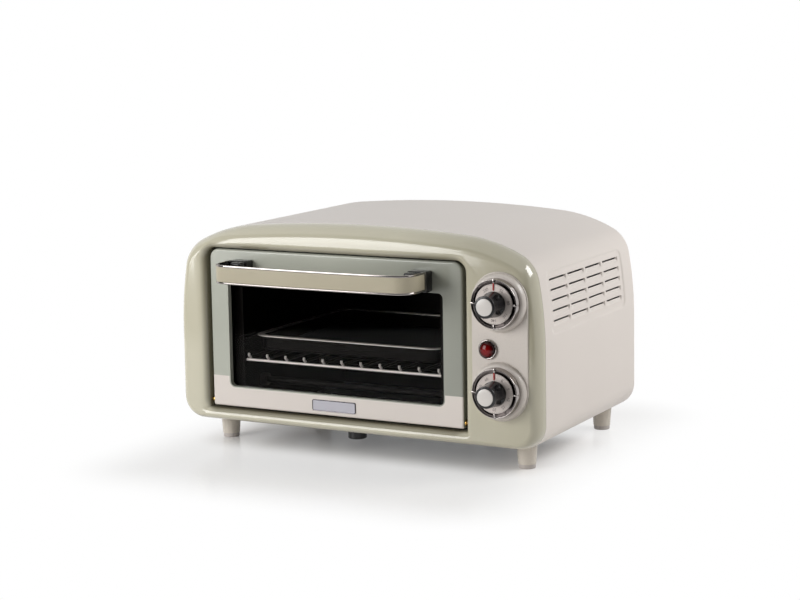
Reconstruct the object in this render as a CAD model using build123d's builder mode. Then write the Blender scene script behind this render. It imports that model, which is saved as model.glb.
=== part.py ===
from build123d import *

import os
from math import atan2, cos, degrees, radians, sin

# Table-top electric oven, in millimetres. +X is to the right as seen from the front, +Y runs
# to the back and +Z is up. The origin is on the table, under the middle of the overall box.
# Depths named "behind" or "proud" are taken from the face of the closed door.

# Stock and clearances
sheet = 1.0
fit_gap = 0.3
running_gap = 0.08
screw_radius = 1.9
screw_head_radius = 3.6
screw_head = 2.2
screw_length = 6.0

# Casing section: crown, shoulder, corner and cheek arcs follow one another down each side
body_width = 366.5
body_height = 211.5
body_depth = 217.5
leg_height = 22.8
crown_turn = 4.9
shoulder_turn = 21.6
shoulder_radius = 146.0
corner_turn = 53.0
corner_radius = 31.0
cheek_turn = 10.5
cheek_radius = 330.0
flank_spread = 0.3
base_corner_radius = 22.0
base_flange = 45.0
base_plate_lap = 8.0
rear_flange = 9.0
rear_recess = 2.0

# Louvres in both sides
louvre_rows = 5
louvre_columns = 4
louvre_pitch = 8.95
louvre_top = 169.0
louvre_front = 34.2
louvre_length = 36.2
louvre_bridge = 3.6
louvre_height = 5.4
louvre_depth = 2.6
louvre_slit = 1.7
panel_depth = 1.0
panel_margin = 6.5

# Bezel
bezel_back = 12.7
bezel_proud = 4.0
bezel_wall = 1.6
pillow_top = 16.0
pillow_side = 9.0
pillow_base = 7.0
pillow_steps = 5
lip_radius = 5.0
lip_blend = 0.1

# Door
door_width = 259.0
door_base = 37.8
door_height = 146.6
door_centre = -19.05
door_gap = 1.5
door_corner = 9.0
door_skin = 1.2
door_depth = 9.0
door_edge_radius = 2.0
door_liner = 1.0
window_width = 221.0
window_height = 99.4
window_base = 56.8
window_corner = 5.0
window_setback = 5.0
glass_thickness = 3.0
glass_lap = 5.0

# Lower strip of the door and its blank badge
strip_thickness = 0.8
strip_roll = 2.0
strip_tab = 9.5
strip_rim = 1.0
strip_depth = 7.0
badge_width = 44.0
badge_height = 7.9
badge_base = 42.9
badge_corner = 1.2
badge_thickness = 0.9

# Door hinge
hinge_behind = 4.6
hinge_height = 42.6
hinge_pin_radius = 1.5
hinge_pin_depth = 5.0
hinge_collar_radius = 3.0
hinge_collar = 0.9
hinge_boss_radius = 3.3
hinge_boss = 3.0

# Handle
handle_reach = 47.4
handle_bow = 2.4
handle_span = 202.0
handle_height = 16.9
handle_middle = 167.9
handle_bend = 16.8
handle_wall = 2.2
handle_edge = 1.6
handle_end = 2.6
handle_inlay = 0.8
spacer_depth = 12.4
spacer_width = 19.0
spacer_corner = 5.0

# Cavity, its front frame and its guides
cavity_width = 208.0
cavity_top = 181.0
cavity_front = 11.4
cavity_rear = 200.0
cavity_sheet = 0.8
mouth_width = 204.0
mouth_base = 47.0
mouth_top = 176.0
mouth_corner = 6.0
frame_lap = 4.0
guide_ledge = 5.5
guide_sheet = 0.8
guide_inset = 3.0

# Wire rack and baking tray
rack_level = 80.0
rack_front = 15.5
rack_depth = 176.0
rack_wires = 11
rack_pitch = 19.7
rack_wire_radius = 1.0
rack_rail_radius = 1.3
rack_wire_rise = 4.0
rack_weld = 0.15
rail_overhang = 3.0
tray_level = 102.4
tray_front = 20.0
tray_width = 200.0
tray_depth = 172.0
tray_wall_height = 14.0
tray_sheet = 0.8
tray_rim = 5.0
tray_corner = 12.0

# Heaters
heater_radius = 3.2
heater_length = 252.0
heater_pin = 5.0
heater_low = 56.0
heater_high = 166.0
heater_front = 46.0
heater_rear = 156.0
bush_radius = 6.0
bush_length = 12.0

# Control plate and dials
dial_shift = 1.1
dial_high = 152.6
dial_low = 75.5
plate_half_width = 26.4
plate_thickness = 1.2
boss_base_radius = 25.6
boss_front_radius = 22.4
boss_proud = 11.0
boss_steps = 6
ring_radius = 22.0
ring_front_radius = 21.4
ring_inner_radius = 20.6
ring_proud = 16.9
tick_width = 1.4
tick_thickness = 1.0
well_wall = 1.0
well_bore = 5.0
cursor_width = 1.0
cursor_length = 6.3
cursor_thickness = 0.3
cursor_lift = 0.5

# Knobs and shafts
dial_radius = 17.3
dial_thickness = 1.0
knob_base_radius = 11.1
knob_front_radius = 9.4
knob_length = 18.5
knob_edge = 0.8
knob_flutes = 5
flute_radius = 2.6
flute_circle = 11.6
flute_start = 45.0
flute_skirt = 1.2
knob_hub_radius = 7.0
knob_hub = 6.0
cap_radius = 7.5
cap_thickness = 1.0
cap_proud = 0.3
shaft_radius = 3.0
shaft_flat = 0.8
shaft_grip = 7.6
shaft_rear = 14.0

# Pilot lamp
lamp_shift = -9.7
lamp_height = 111.4
lamp_lens_radius = 7.0
lamp_ring_radius = 8.7
lamp_ring_height = 2.3
lamp_dome = 3.6
lamp_stem_radius = 5.4
lamp_stem = 4.0
lamp_holder_wall = 1.2
lamp_holder_length = 18.0

# Thermostat and timer mechanisms
neck_radius = 5.5
neck_length = 4.0
mechanism_corner = 2.0
thermostat_width = 28.0
thermostat_depth = 20.0
timer_width = 40.0
timer_depth = 24.0
bell_radius = 17.0
bell_height = 6.0
bell_wall = 0.8
bell_post = 9.0
bell_post_radius = 3.0

# Crumb flap
flap_width = 200.0
flap_front = 24.0
flap_rear = 190.0
flap_lap = 5.0
flap_drop = 0.4
flap_barrel_radius = 2.6
flap_barrel_length = 16.0
flap_barrel_spread = 140.0
flap_ear = 2.0
flap_ear_drop = 5.4
flap_rib_width = 6.0
flap_rib_height = 1.2
flap_knob_radius = 8.7
flap_knob_behind = 41.0
flap_knob_drop = 12.6
flap_pin_radius = 1.25

# Control compartment, mains entry and rear vents
shield_gap = 5.8
shield_top = 198.0
shield_slot = 4.0
shield_foot = 12.0
terminal_shift = 3.4
terminal_inset = 37.5
terminal_width = 20.0
terminal_length = 30.0
terminal_height = 18.0
gland_shift = -0.6
gland_height = 62.0
gland_radius = 7.0
gland_bore = 3.4
gland_lip = 2.0
vent_height = 140.0
vent_columns = 5
vent_rows = 4
vent_length = 34.0
vent_width = 3.0
vent_pitch_x = 44.0
vent_pitch_z = 9.0

# Legs and pads
leg_inset_x = 29.2
leg_front = 36.7
leg_rear_inset = 9.5
leg_top_radius = 9.35
leg_foot_radius = 8.0
pad_height = 4.0
pad_inset = 0.4
leg_screw_length = 11.0

face_y = (handle_reach - body_depth) / 2
half_width = body_width / 2
door_right = door_centre + door_width / 2
bay_centre = (door_right + half_width) / 2
dial_centre = bay_centre + dial_shift
lamp_centre = bay_centre + lamp_shift
parts_folder = "parts"
os.makedirs(parts_folder, exist_ok=True)


def front_plane(behind):
    """Upright plane that faces the viewer, this far behind the door's face."""
    return Plane.XZ.offset(-(face_y + behind))


def write(name, piece):
    """Labels a finished piece and writes its STEP file."""
    piece.label = name
    export_step(piece, f"{parts_folder}/{name}.step")


def turned_reach(radius, before, turn):
    """Sideways reach of an arc that starts after one angle and turns by another."""
    return radius * (sin(radians(before + turn)) - sin(radians(before)))


def turned_drop(radius, before, turn):
    """Fall of the same arc."""
    return radius * (cos(radians(before)) - cos(radians(before + turn)))


after_shoulder = crown_turn + shoulder_turn
after_corner = after_shoulder + corner_turn


def crown_radius(side, shrink):
    """Radius that lets the crown and the arcs after it end at the given half width."""
    reach = turned_reach(shoulder_radius - shrink, crown_turn, shoulder_turn)
    reach += turned_reach(corner_radius - shrink, after_shoulder, corner_turn)
    reach += turned_reach(cheek_radius - shrink, after_corner, cheek_turn)
    return (side - flank_spread - reach) / sin(radians(crown_turn))


def case_section(wall=0.0, pillow=0.0):
    """Cross-section of the body: crowned top, soft shoulders, bulged flanks and a flat base."""
    side = half_width - wall - pillow * pillow_side / pillow_top
    top = body_height - wall - pillow
    lift = wall + pillow * pillow_base / pillow_top
    base = leg_height + lift
    shrink = wall + pillow
    with BuildSketch(mode=Mode.PRIVATE) as section:
        with BuildLine():
            crown = JernArc((0, top), (1, 0), crown_radius(side, shrink), -crown_turn)
            shoulder = JernArc(crown @ 1, crown % 1, shoulder_radius - shrink, -shoulder_turn)
            corner = JernArc(shoulder @ 1, shoulder % 1, corner_radius - shrink, -corner_turn)
            cheek = JernArc(corner @ 1, corner % 1, cheek_radius - shrink, -cheek_turn)
            Line(cheek @ 1, (side, base))
            Line((side, base), (0, base))
            mirror(about=Plane.YZ)
        make_face()
        low_corners = section.vertices().group_by(Axis.Y)[0].filter_by(lambda v: abs(v.X) > 1)
        fillet(low_corners, base_corner_radius - lift)
    return section.sketch


def casing_band(outer_wall, inner_wall):
    """Closed band between two walls of the body section."""
    with BuildSketch(mode=Mode.PRIVATE) as band:
        add(case_section(outer_wall))
        add(case_section(inner_wall), mode=Mode.SUBTRACT)
    return band.sketch


def door_outline(grow=0.0, lift=0.0):
    """Upright face of the door with rounded top corners, its lower edge raised by lift."""
    height = door_height - lift + 2 * grow
    with BuildSketch(mode=Mode.PRIVATE) as outline:
        with Locations((door_centre, door_base + (door_height + lift) / 2)):
            Rectangle(door_width + 2 * grow, height)
        fillet(outline.vertices().group_by(Axis.Y)[-1], door_corner + grow)
    return outline.sketch


def window_outline(grow=0.0):
    """Window opening with rounded corners."""
    with BuildSketch(mode=Mode.PRIVATE) as outline:
        with Locations((door_centre, window_base + window_height / 2)):
            RectangleRounded(window_width + 2 * grow, window_height + 2 * grow, window_corner + grow)
    return outline.sketch


# Casing wrap: one sheet over both sides and the top, with pressed louvre panels
casing_length = body_depth - bezel_back
louvre_field = louvre_columns * louvre_length + (louvre_columns - 1) * louvre_bridge
panel_length = louvre_field + 2 * panel_margin
panel_height = (louvre_rows - 1) * louvre_pitch + louvre_height + 2 * panel_margin
panel_centre_y = face_y + louvre_front + louvre_field / 2
panel_centre_z = louvre_top + panel_margin - panel_height / 2
flank_arc_x = half_width - flank_spread - cheek_radius
flank_arc_z = (
    body_height
    - turned_drop(crown_radius(half_width, 0), 0, crown_turn)
    - turned_drop(shoulder_radius, crown_turn, shoulder_turn)
    - turned_drop(corner_radius, after_shoulder, corner_turn)
    - turned_drop(cheek_radius, after_corner, cheek_turn)
)
rear_flange_front = body_depth - rear_recess - 2 * sheet


def flank_x(height):
    """Half width of the casing at a height on its bulged flank."""
    return flank_arc_x + (cheek_radius**2 - (height - flank_arc_z) ** 2) ** 0.5


def panel_band(outer_wall, inner_wall, grow):
    """Layer of both flanks between two walls, cut to the rounded louvre panel."""
    with BuildPart() as panel_area:
        with BuildSketch(Plane.YZ.offset(-body_width)):
            with Locations((panel_centre_y, panel_centre_z)):
                RectangleRounded(panel_length + 2 * grow, panel_height + 2 * grow, panel_margin + grow)
        extrude(amount=2 * body_width)
    with BuildPart() as layer:
        with BuildSketch(front_plane(bezel_back)):
            add(casing_band(outer_wall, inner_wall))
        extrude(amount=-casing_length)
        add(panel_area.part, mode=Mode.INTERSECT)
    return layer.part


def louvre_profiles(hollow):
    """Sections of the scoops in both flanks: the pressed tongues, or the space they leave."""
    with BuildSketch(mode=Mode.PRIVATE) as profiles:
        for row in range(louvre_rows):
            slit = louvre_top - row * louvre_pitch
            foot = slit - louvre_height
            slit_x = flank_x(slit) - panel_depth
            foot_x = flank_x(foot) - panel_depth
            tip_x = slit_x - louvre_depth
            outline = [(foot_x, foot), (foot_x - sheet, foot), (tip_x - sheet, slit), (slit_x, slit)]
            if hollow:
                clear_x = half_width + sheet
                edge = slit - louvre_slit
                edge_x = tip_x + (foot_x - tip_x) * louvre_slit / louvre_height
                inside_x = tip_x - 2 * sheet
                outline = [(clear_x, foot), (foot_x, foot), (edge_x, edge)]
                outline += [(inside_x, edge), (inside_x, slit), (clear_x, slit)]
            with BuildLine():
                Polyline(*outline, close=True)
            make_face()
        mirror(about=Plane.YZ)
    return profiles.sketch


panel_backing = panel_band(sheet / 2, sheet + panel_depth, sheet)
panel_recess = panel_band(-sheet, panel_depth, 0)
column_starts = [louvre_front + column * (louvre_length + louvre_bridge) for column in range(louvre_columns)]
screw_line = (sheet + rear_flange) / 2
rear_screws_at = [
    (half_width - screw_line, leg_height + corner_radius),
    (flank_x(louvre_top - corner_radius) - screw_line, louvre_top - corner_radius),
    (half_width / 2, body_height - screw_line - 3 * sheet),
]

with BuildPart() as casing_wrap:
    with BuildSketch(front_plane(bezel_back)):
        add(casing_band(0, sheet))
    extrude(amount=-casing_length)
    with BuildSketch(front_plane(rear_flange_front)):
        add(casing_band(sheet / 2, rear_flange))
    extrude(amount=-sheet)
    add(panel_backing)
    add(panel_recess, mode=Mode.SUBTRACT)
    for start in column_starts:
        with BuildSketch(front_plane(start)):
            add(louvre_profiles(hollow=False))
        extrude(amount=-louvre_length)
    for start in column_starts:
        with BuildSketch(front_plane(start + sheet)):
            add(louvre_profiles(hollow=True))
        extrude(amount=-(louvre_length - 2 * sheet), mode=Mode.SUBTRACT)
    with BuildSketch(Plane.XY):
        Rectangle(2 * (half_width - base_flange), 2 * body_depth)
    extrude(amount=leg_height + sheet, mode=Mode.SUBTRACT)
    with BuildSketch(front_plane(rear_flange_front - sheet)):
        for x, z in rear_screws_at:
            with Locations((x, z), (-x, z)):
                Circle(screw_radius)
    extrude(amount=-3 * sheet, mode=Mode.SUBTRACT)
    with BuildSketch(Plane.XY.offset(leg_height - sheet)):
        with Locations(*[(x, y) for x in (-half_width + leg_inset_x, half_width - leg_inset_x)
                         for y in (face_y + leg_front, face_y + body_depth - leg_rear_inset)]):
            Circle(screw_radius)
    extrude(amount=3 * sheet, mode=Mode.SUBTRACT)
write("casing_wrap", casing_wrap.part)


# Front bezel: a pillowed moulding round the door and the controls, hollow behind
def pillow_form(wall):
    """Bulged front volume of the bezel, set back by its wall when that isn't zero."""
    rise = bezel_back + bezel_proud - wall
    with BuildPart() as form:
        for step in range(pillow_steps):
            angle = radians(90 * step / (pillow_steps - 1))
            with BuildSketch(front_plane(bezel_back - rise * sin(angle))):
                add(case_section(wall, pillow_top * (1 - cos(angle))))
        loft()
    return form.part


bezel_outer = pillow_form(0)
lip_block = lip_radius + bezel_wall
return_depth = cavity_front + bezel_proud
lamp_hole_radius = lamp_stem_radius + fit_gap
shaft_hole_radius = shaft_radius + fit_gap
hinge_axis = face_y + hinge_behind, hinge_height
hinge_seat = door_gap + bezel_wall + hinge_boss

with BuildPart() as lip_mould:
    with BuildSketch(front_plane(-bezel_proud - lip_blend)):
        add(door_outline(door_gap + 2 * lip_block))
        add(door_outline(door_gap), mode=Mode.SUBTRACT)
    extrude(amount=-lip_block)
    fillet(lip_mould.faces().sort_by(Axis.Y)[0].inner_wires()[0].edges(), lip_radius)

with BuildPart() as mouth_cutter:
    with BuildSketch(front_plane(-2 * bezel_proud)):
        add(door_outline(door_gap + lip_radius))
    extrude(amount=-(bezel_proud + lip_radius))
    add(lip_mould.part, mode=Mode.SUBTRACT)
    with BuildSketch(front_plane(-2 * bezel_proud)):
        add(door_outline(door_gap))
    extrude(amount=-2 * return_depth)

with BuildPart() as bezel_hollow:
    add(pillow_form(bezel_wall))
    with BuildSketch(front_plane(-2 * bezel_proud)):
        add(door_outline(door_gap + lip_block))
    extrude(amount=-(bezel_proud + lip_block), mode=Mode.SUBTRACT)
    with BuildSketch(front_plane(-2 * bezel_proud)):
        add(door_outline(door_gap + bezel_wall))
    extrude(amount=-2 * return_depth, mode=Mode.SUBTRACT)

with BuildPart() as front_bezel:
    add(bezel_outer)
    add(bezel_hollow.part, mode=Mode.SUBTRACT)
    with BuildSketch(front_plane(cavity_front)):
        add(door_outline(door_gap + 2 * bezel_wall))
    extrude(amount=-lip_block, mode=Mode.SUBTRACT)
    add(mouth_cutter.part, mode=Mode.SUBTRACT)
    with BuildSketch(Plane.YZ.offset(door_centre - door_width / 2 - hinge_seat)):
        with Locations(hinge_axis):
            Circle(hinge_boss_radius)
    extrude(amount=hinge_boss)
    with BuildSketch(Plane.YZ.offset(door_centre + door_width / 2 + hinge_seat)):
        with Locations(hinge_axis):
            Circle(hinge_boss_radius)
    extrude(amount=-hinge_boss)
    with BuildSketch(Plane.YZ.offset(door_centre - door_width / 2 - hinge_seat)):
        with Locations(hinge_axis):
            Circle(hinge_pin_radius)
    extrude(amount=door_width + 2 * hinge_seat, mode=Mode.SUBTRACT)
    with BuildSketch(front_plane(-2 * bezel_proud)):
        with Locations((dial_centre, dial_high), (dial_centre, dial_low)):
            Circle(shaft_hole_radius)
        with Locations((lamp_centre, lamp_height)):
            Circle(lamp_hole_radius)
    extrude(amount=-2 * bezel_proud, mode=Mode.SUBTRACT)
write("front_bezel", front_bezel.part)


# Control plate: a flat slot-shaped plate that carries both dials and the lamp
plate_front = bezel_proud + plate_thickness

with BuildPart() as control_plate:
    with BuildSketch(front_plane(-bezel_proud)):
        with Locations((dial_centre, (dial_high + dial_low) / 2)):
            SlotCenterToCenter(dial_high - dial_low, 2 * plate_half_width, rotation=90)
        with Locations((dial_centre, dial_high), (dial_centre, dial_low)):
            Circle(shaft_hole_radius, mode=Mode.SUBTRACT)
        with Locations((lamp_centre, lamp_height)):
            Circle(lamp_hole_radius, mode=Mode.SUBTRACT)
    extrude(amount=plate_thickness)
    fillet(control_plate.faces().sort_by(Axis.Y)[0].outer_wire().edges(), plate_thickness / 2)
write("control_plate", control_plate.part)


# Dials: for each one a domed boss, a bright ring with ticks, a dark well and a red cursor
def turned(x, height, outline):
    """Solid turned about a fore-and-aft axis from points of (radius, distance behind the face)."""
    with BuildPart() as shape:
        with BuildSketch(Plane(origin=(x, face_y, height), x_dir=(1, 0, 0), z_dir=(0, 0, 1))):
            with BuildLine():
                Polyline(*outline, close=True)
            make_face()
        revolve(axis=Axis((x, face_y, height), (0, 1, 0)))
    return shape.part


def boss_outline():
    """Outline of a boss: a rounded flank from the plate up to the flat seat of the ring."""
    width = boss_base_radius - boss_front_radius
    rise = boss_proud - plate_front
    flank = []
    for step in range(boss_steps + 1):
        angle = radians(90 * step / boss_steps)
        flank.append((boss_front_radius + width * cos(angle), -plate_front - rise * sin(angle)))
    return [(ring_inner_radius, -plate_front), *flank, (ring_inner_radius, -boss_proud)]


well_radius = ring_inner_radius - running_gap
well_front = ring_proud - 1.5 * tick_thickness
dial_front = ring_proud - cursor_lift
tick_inner = dial_radius + fit_gap

for place, height in (("upper", dial_high), ("lower", dial_low)):
    with BuildPart() as dial_boss:
        add(turned(dial_centre, height, boss_outline()))
    write(f"{place}_dial_boss", dial_boss.part)

    with BuildPart() as dial_ring:
        add(turned(dial_centre, height, [
            (ring_inner_radius, -boss_proud),
            (ring_radius, -boss_proud),
            (ring_front_radius, -ring_proud),
            (ring_inner_radius, -ring_proud),
        ]))
        with BuildSketch(front_plane(-ring_proud)):
            with Locations((dial_centre, height)):
                with PolarLocations((tick_inner + ring_radius) / 2, 4):
                    Rectangle(ring_radius - tick_inner, tick_width)
        extrude(amount=-tick_thickness)
    write(f"{place}_dial_ring", dial_ring.part)

    with BuildPart() as dial_well:
        add(turned(dial_centre, height, [
            (well_bore, -plate_front),
            (well_radius, -plate_front),
            (well_radius, -well_front),
            (well_radius - well_wall, -well_front),
            (well_radius - well_wall, -plate_front - well_wall),
            (well_bore, -plate_front - well_wall),
        ]))
    write(f"{place}_dial_well", dial_well.part)

with BuildPart() as dial_cursors:
    with BuildSketch(front_plane(-ring_proud)):
        for height in (dial_high, dial_low):
            with Locations((dial_centre, height + tick_inner + 2 * fit_gap - cursor_length / 2)):
                Rectangle(cursor_width, cursor_length)
    extrude(amount=cursor_thickness)
write("dial_cursors", dial_cursors.part)


# Knobs: fluted grip with a pale cap, numbered dial plate and a flatted shaft
def shaft_section(height, clearance=0.0):
    """Round shaft section with one flat, on the axis of a dial."""
    with BuildSketch(mode=Mode.PRIVATE) as section:
        with Locations((dial_centre, height)):
            Circle(shaft_radius + clearance)
        with Locations((dial_centre, height - 2 * shaft_radius + shaft_flat - clearance)):
            Rectangle(3 * shaft_radius, 2 * shaft_radius, mode=Mode.SUBTRACT)
    return section.sketch


knob_front = dial_front + knob_length
cap_front = knob_front + cap_proud

for name, height in (("thermostat", dial_high), ("timer", dial_low)):
    with BuildPart() as knob:
        with BuildSketch(front_plane(-dial_front)):
            with Locations((dial_centre, height)):
                Circle(knob_base_radius)
        extrude(amount=knob_length, taper=degrees(atan2(knob_base_radius - knob_front_radius, knob_length)))
        fillet(knob.edges().group_by(Axis.Y)[0], knob_edge)
        with BuildSketch(front_plane(-dial_front - flute_skirt)):
            with Locations((dial_centre, height)):
                with PolarLocations(flute_circle, knob_flutes, start_angle=flute_start):
                    Circle(flute_radius)
        extrude(amount=knob_length, mode=Mode.SUBTRACT)
        with BuildSketch(front_plane(-dial_front)):
            with Locations((dial_centre, height)):
                Circle(knob_hub_radius)
        extrude(amount=-knob_hub)
        with BuildSketch(front_plane(knob_hub - dial_front)):
            add(shaft_section(height, running_gap))
        extrude(amount=knob_hub + shaft_grip + fit_gap, mode=Mode.SUBTRACT)
        with BuildSketch(front_plane(-knob_front)):
            with Locations((dial_centre, height)):
                Circle(cap_radius)
        extrude(amount=-(cap_thickness - cap_proud), mode=Mode.SUBTRACT)
    write(f"{name}_knob", knob.part)

    with BuildPart() as knob_cap:
        with BuildSketch(front_plane(cap_thickness - cap_front)):
            with Locations((dial_centre, height)):
                Circle(cap_radius)
        extrude(amount=cap_thickness)
    write(f"{name}_knob_cap", knob_cap.part)

    with BuildPart() as dial_plate:
        with BuildSketch(front_plane(-dial_front)):
            with Locations((dial_centre, height)):
                Circle(dial_radius)
                Circle(knob_hub_radius, mode=Mode.SUBTRACT)
        extrude(amount=-dial_thickness)
    write(f"{name}_dial_plate", dial_plate.part)

    with BuildPart() as shaft:
        with BuildSketch(front_plane(shaft_rear)):
            with Locations((dial_centre, height)):
                Circle(shaft_radius)
        extrude(amount=shaft_rear + dial_front - knob_hub)
        with BuildSketch(front_plane(knob_hub - dial_front)):
            add(shaft_section(height))
        extrude(amount=knob_hub + shaft_grip)
    write(f"{name}_shaft", shaft.part)


# Pilot lamp: domed lens in a bright ring, with its holder behind the panel
panel_back = bezel_wall - bezel_proud

with BuildPart() as lamp_bezel:
    add(turned(lamp_centre, lamp_height, [
        (lamp_lens_radius + running_gap, -plate_front),
        (lamp_ring_radius, -plate_front),
        (lamp_ring_radius, -plate_front - lamp_ring_height / 2),
        (lamp_ring_radius - lamp_ring_height / 4, -plate_front - lamp_ring_height),
        (lamp_lens_radius + running_gap, -plate_front - lamp_ring_height),
    ]))
write("lamp_bezel", lamp_bezel.part)

with BuildPart() as lamp_lens:
    with BuildSketch(front_plane(-plate_front)):
        with Locations((lamp_centre, lamp_height)):
            Circle(lamp_lens_radius)
    extrude(amount=lamp_ring_height + lamp_dome)
    fillet(lamp_lens.edges().group_by(Axis.Y)[0], lamp_dome + lamp_ring_height / 2)
    with BuildSketch(front_plane(-plate_front)):
        with Locations((lamp_centre, lamp_height)):
            Circle(lamp_stem_radius)
    extrude(amount=-(plate_front + lamp_stem))
write("lamp_lens", lamp_lens.part)

with BuildPart() as lamp_holder:
    with BuildSketch(front_plane(panel_back)):
        with Locations((lamp_centre, lamp_height)):
            Circle(lamp_lens_radius)
            Circle(lamp_stem_radius + running_gap, mode=Mode.SUBTRACT)
    extrude(amount=-(lamp_stem - panel_back))
    with BuildSketch(front_plane(lamp_stem)):
        with Locations((lamp_centre, lamp_height)):
            Circle(lamp_lens_radius)
    extrude(amount=-lamp_holder_wall)
    with BuildSketch(front_plane(lamp_stem + lamp_holder_wall)):
        with Locations((lamp_centre, lamp_height)):
            Circle(lamp_stem_radius)
    extrude(amount=-lamp_holder_length)
write("lamp_holder", lamp_holder.part)


# Thermostat and timer mechanisms behind the panel
for name, height, width, depth in (
    ("thermostat", dial_high, thermostat_width, thermostat_depth),
    ("timer", dial_low, timer_width, timer_depth),
):
    with BuildPart() as mechanism:
        with BuildSketch(front_plane(panel_back)):
            with Locations((dial_centre, height)):
                Circle(neck_radius)
        extrude(amount=-neck_length)
        with BuildSketch(front_plane(panel_back + neck_length)):
            with Locations((dial_centre, height)):
                RectangleRounded(width, width, mechanism_corner)
        extrude(amount=-depth)
        with BuildSketch(front_plane(panel_back)):
            with Locations((dial_centre, height)):
                Circle(shaft_radius + running_gap)
        extrude(amount=-(shaft_rear - panel_back + fit_gap), mode=Mode.SUBTRACT)
    write(f"{name}_body", mechanism.part)

bell_back = panel_back + neck_length + timer_depth

with BuildPart() as timer_bell:
    with BuildSketch(front_plane(bell_back)):
        with Locations((dial_centre, dial_low)):
            Circle(bell_post_radius)
    extrude(amount=-bell_post)
    with BuildSketch(front_plane(bell_back + bell_post - bell_height)):
        with Locations((dial_centre, dial_low)):
            Circle(bell_radius)
    extrude(amount=-bell_height)
    fillet(timer_bell.edges().group_by(Axis.Y)[-1], 2 * bell_wall)
    with BuildSketch(front_plane(bell_back + bell_post - bell_height)):
        with Locations((dial_centre, dial_low)):
            Circle(bell_radius - bell_wall)
            Circle(bell_post_radius, mode=Mode.SUBTRACT)
    extrude(amount=-(bell_height - bell_wall), mode=Mode.SUBTRACT)
write("timer_bell", timer_bell.part)


# Base plate with the crumb opening, the flap under it, its knob and its hinge
floor_top = leg_height + 2 * sheet
plate_half = half_width - base_flange + base_plate_lap
plate_rear = rear_flange_front - fit_gap
flap_top = leg_height + sheet - flap_drop
barrel_height = flap_top - flap_barrel_radius
barrel_axis = face_y + flap_rear + flap_barrel_radius, barrel_height
barrel_starts = [door_centre + side * flap_barrel_spread / 2 - flap_barrel_length / 2 for side in (-1, 1)]
flap_length = flap_rear - flap_front
flap_middle = face_y + (flap_front + flap_rear) / 2

with BuildPart() as base_plate:
    with BuildSketch(Plane.XY.offset(leg_height + sheet)):
        with Locations((0, face_y + (bezel_back + plate_rear) / 2)):
            Rectangle(2 * plate_half, plate_rear - bezel_back)
        with Locations((door_centre, flap_middle)):
            RectangleRounded(flap_width - 2 * flap_lap, flap_length - 2 * flap_lap, flap_lap,
                             mode=Mode.SUBTRACT)
    extrude(amount=sheet)
    for start in barrel_starts:
        for ear_start in (start - fit_gap - flap_ear, start + flap_barrel_length + fit_gap):
            with BuildSketch(Plane.YZ.offset(ear_start)):
                with Locations((barrel_axis[0], leg_height + sheet - flap_ear_drop / 2)):
                    Rectangle(2 * (flap_pin_radius + sheet), flap_ear_drop)
                with Locations(barrel_axis):
                    Circle(flap_pin_radius, mode=Mode.SUBTRACT)
            extrude(amount=flap_ear)
write("base_plate", base_plate.part)

with BuildPart() as crumb_flap:
    with BuildSketch(Plane.XY.offset(flap_top - sheet)):
        with Locations((door_centre, flap_middle)):
            RectangleRounded(flap_width, flap_length, flap_lap)
    extrude(amount=sheet)
    with BuildSketch(Plane.XY.offset(flap_top - sheet - flap_rib_height)):
        for side in (-1, 1):
            with Locations((door_centre + side * flap_width / 4, flap_middle)):
                SlotOverall(flap_length - 4 * flap_rib_width, flap_rib_width, rotation=90)
    extrude(amount=flap_rib_height)
    for start in barrel_starts:
        with BuildSketch(Plane.YZ.offset(start)):
            with Locations(barrel_axis):
                Circle(flap_barrel_radius)
            with Locations((barrel_axis[0] - flap_barrel_radius, flap_top - sheet / 2)):
                Rectangle(2 * flap_barrel_radius, sheet)
            with Locations(barrel_axis):
                Circle(flap_pin_radius + running_gap, mode=Mode.SUBTRACT)
        extrude(amount=flap_barrel_length)
    with BuildSketch(Plane.XY.offset(flap_top)):
        with Locations((door_centre, face_y + flap_knob_behind)):
            Circle(screw_radius)
    extrude(amount=-2 * sheet, mode=Mode.SUBTRACT)
write("crumb_flap", crumb_flap.part)

with BuildPart() as crumb_flap_knob:
    with BuildSketch(Plane.XY.offset(flap_top - sheet)):
        with Locations((door_centre, face_y + flap_knob_behind)):
            Circle(flap_knob_radius / 2)
    extrude(amount=-flap_knob_drop)
    with BuildSketch(Plane.XY.offset(flap_top - sheet - flap_knob_drop)):
        with Locations((door_centre, face_y + flap_knob_behind)):
            Circle(flap_knob_radius)
    extrude(amount=flap_knob_drop * 2 / 3)
    fillet(crumb_flap_knob.edges().group_by(Axis.Z)[0], sheet)
    with BuildSketch(Plane.XY.offset(flap_top - sheet)):
        with Locations((door_centre, face_y + flap_knob_behind)):
            Circle(screw_radius)
    extrude(amount=sheet)
write("crumb_flap_knob", crumb_flap_knob.part)

with BuildPart() as flap_hinge_pins:
    for start in barrel_starts:
        with BuildSketch(Plane.YZ.offset(start - fit_gap - flap_ear)):
            with Locations(barrel_axis):
                Circle(flap_pin_radius)
        extrude(amount=flap_barrel_length + 2 * (fit_gap + flap_ear))
write("flap_hinge_pins", flap_hinge_pins.part)


# Oven cavity: bent liner on the base plate and the plate that frames its mouth
liner_front = cavity_front + cavity_sheet
heater_places = {
    "lower_front_heater": (heater_front, heater_low),
    "lower_rear_heater": (heater_rear, heater_low),
    "upper_front_heater": (heater_front, heater_high),
    "upper_rear_heater": (heater_rear, heater_high),
}

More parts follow.
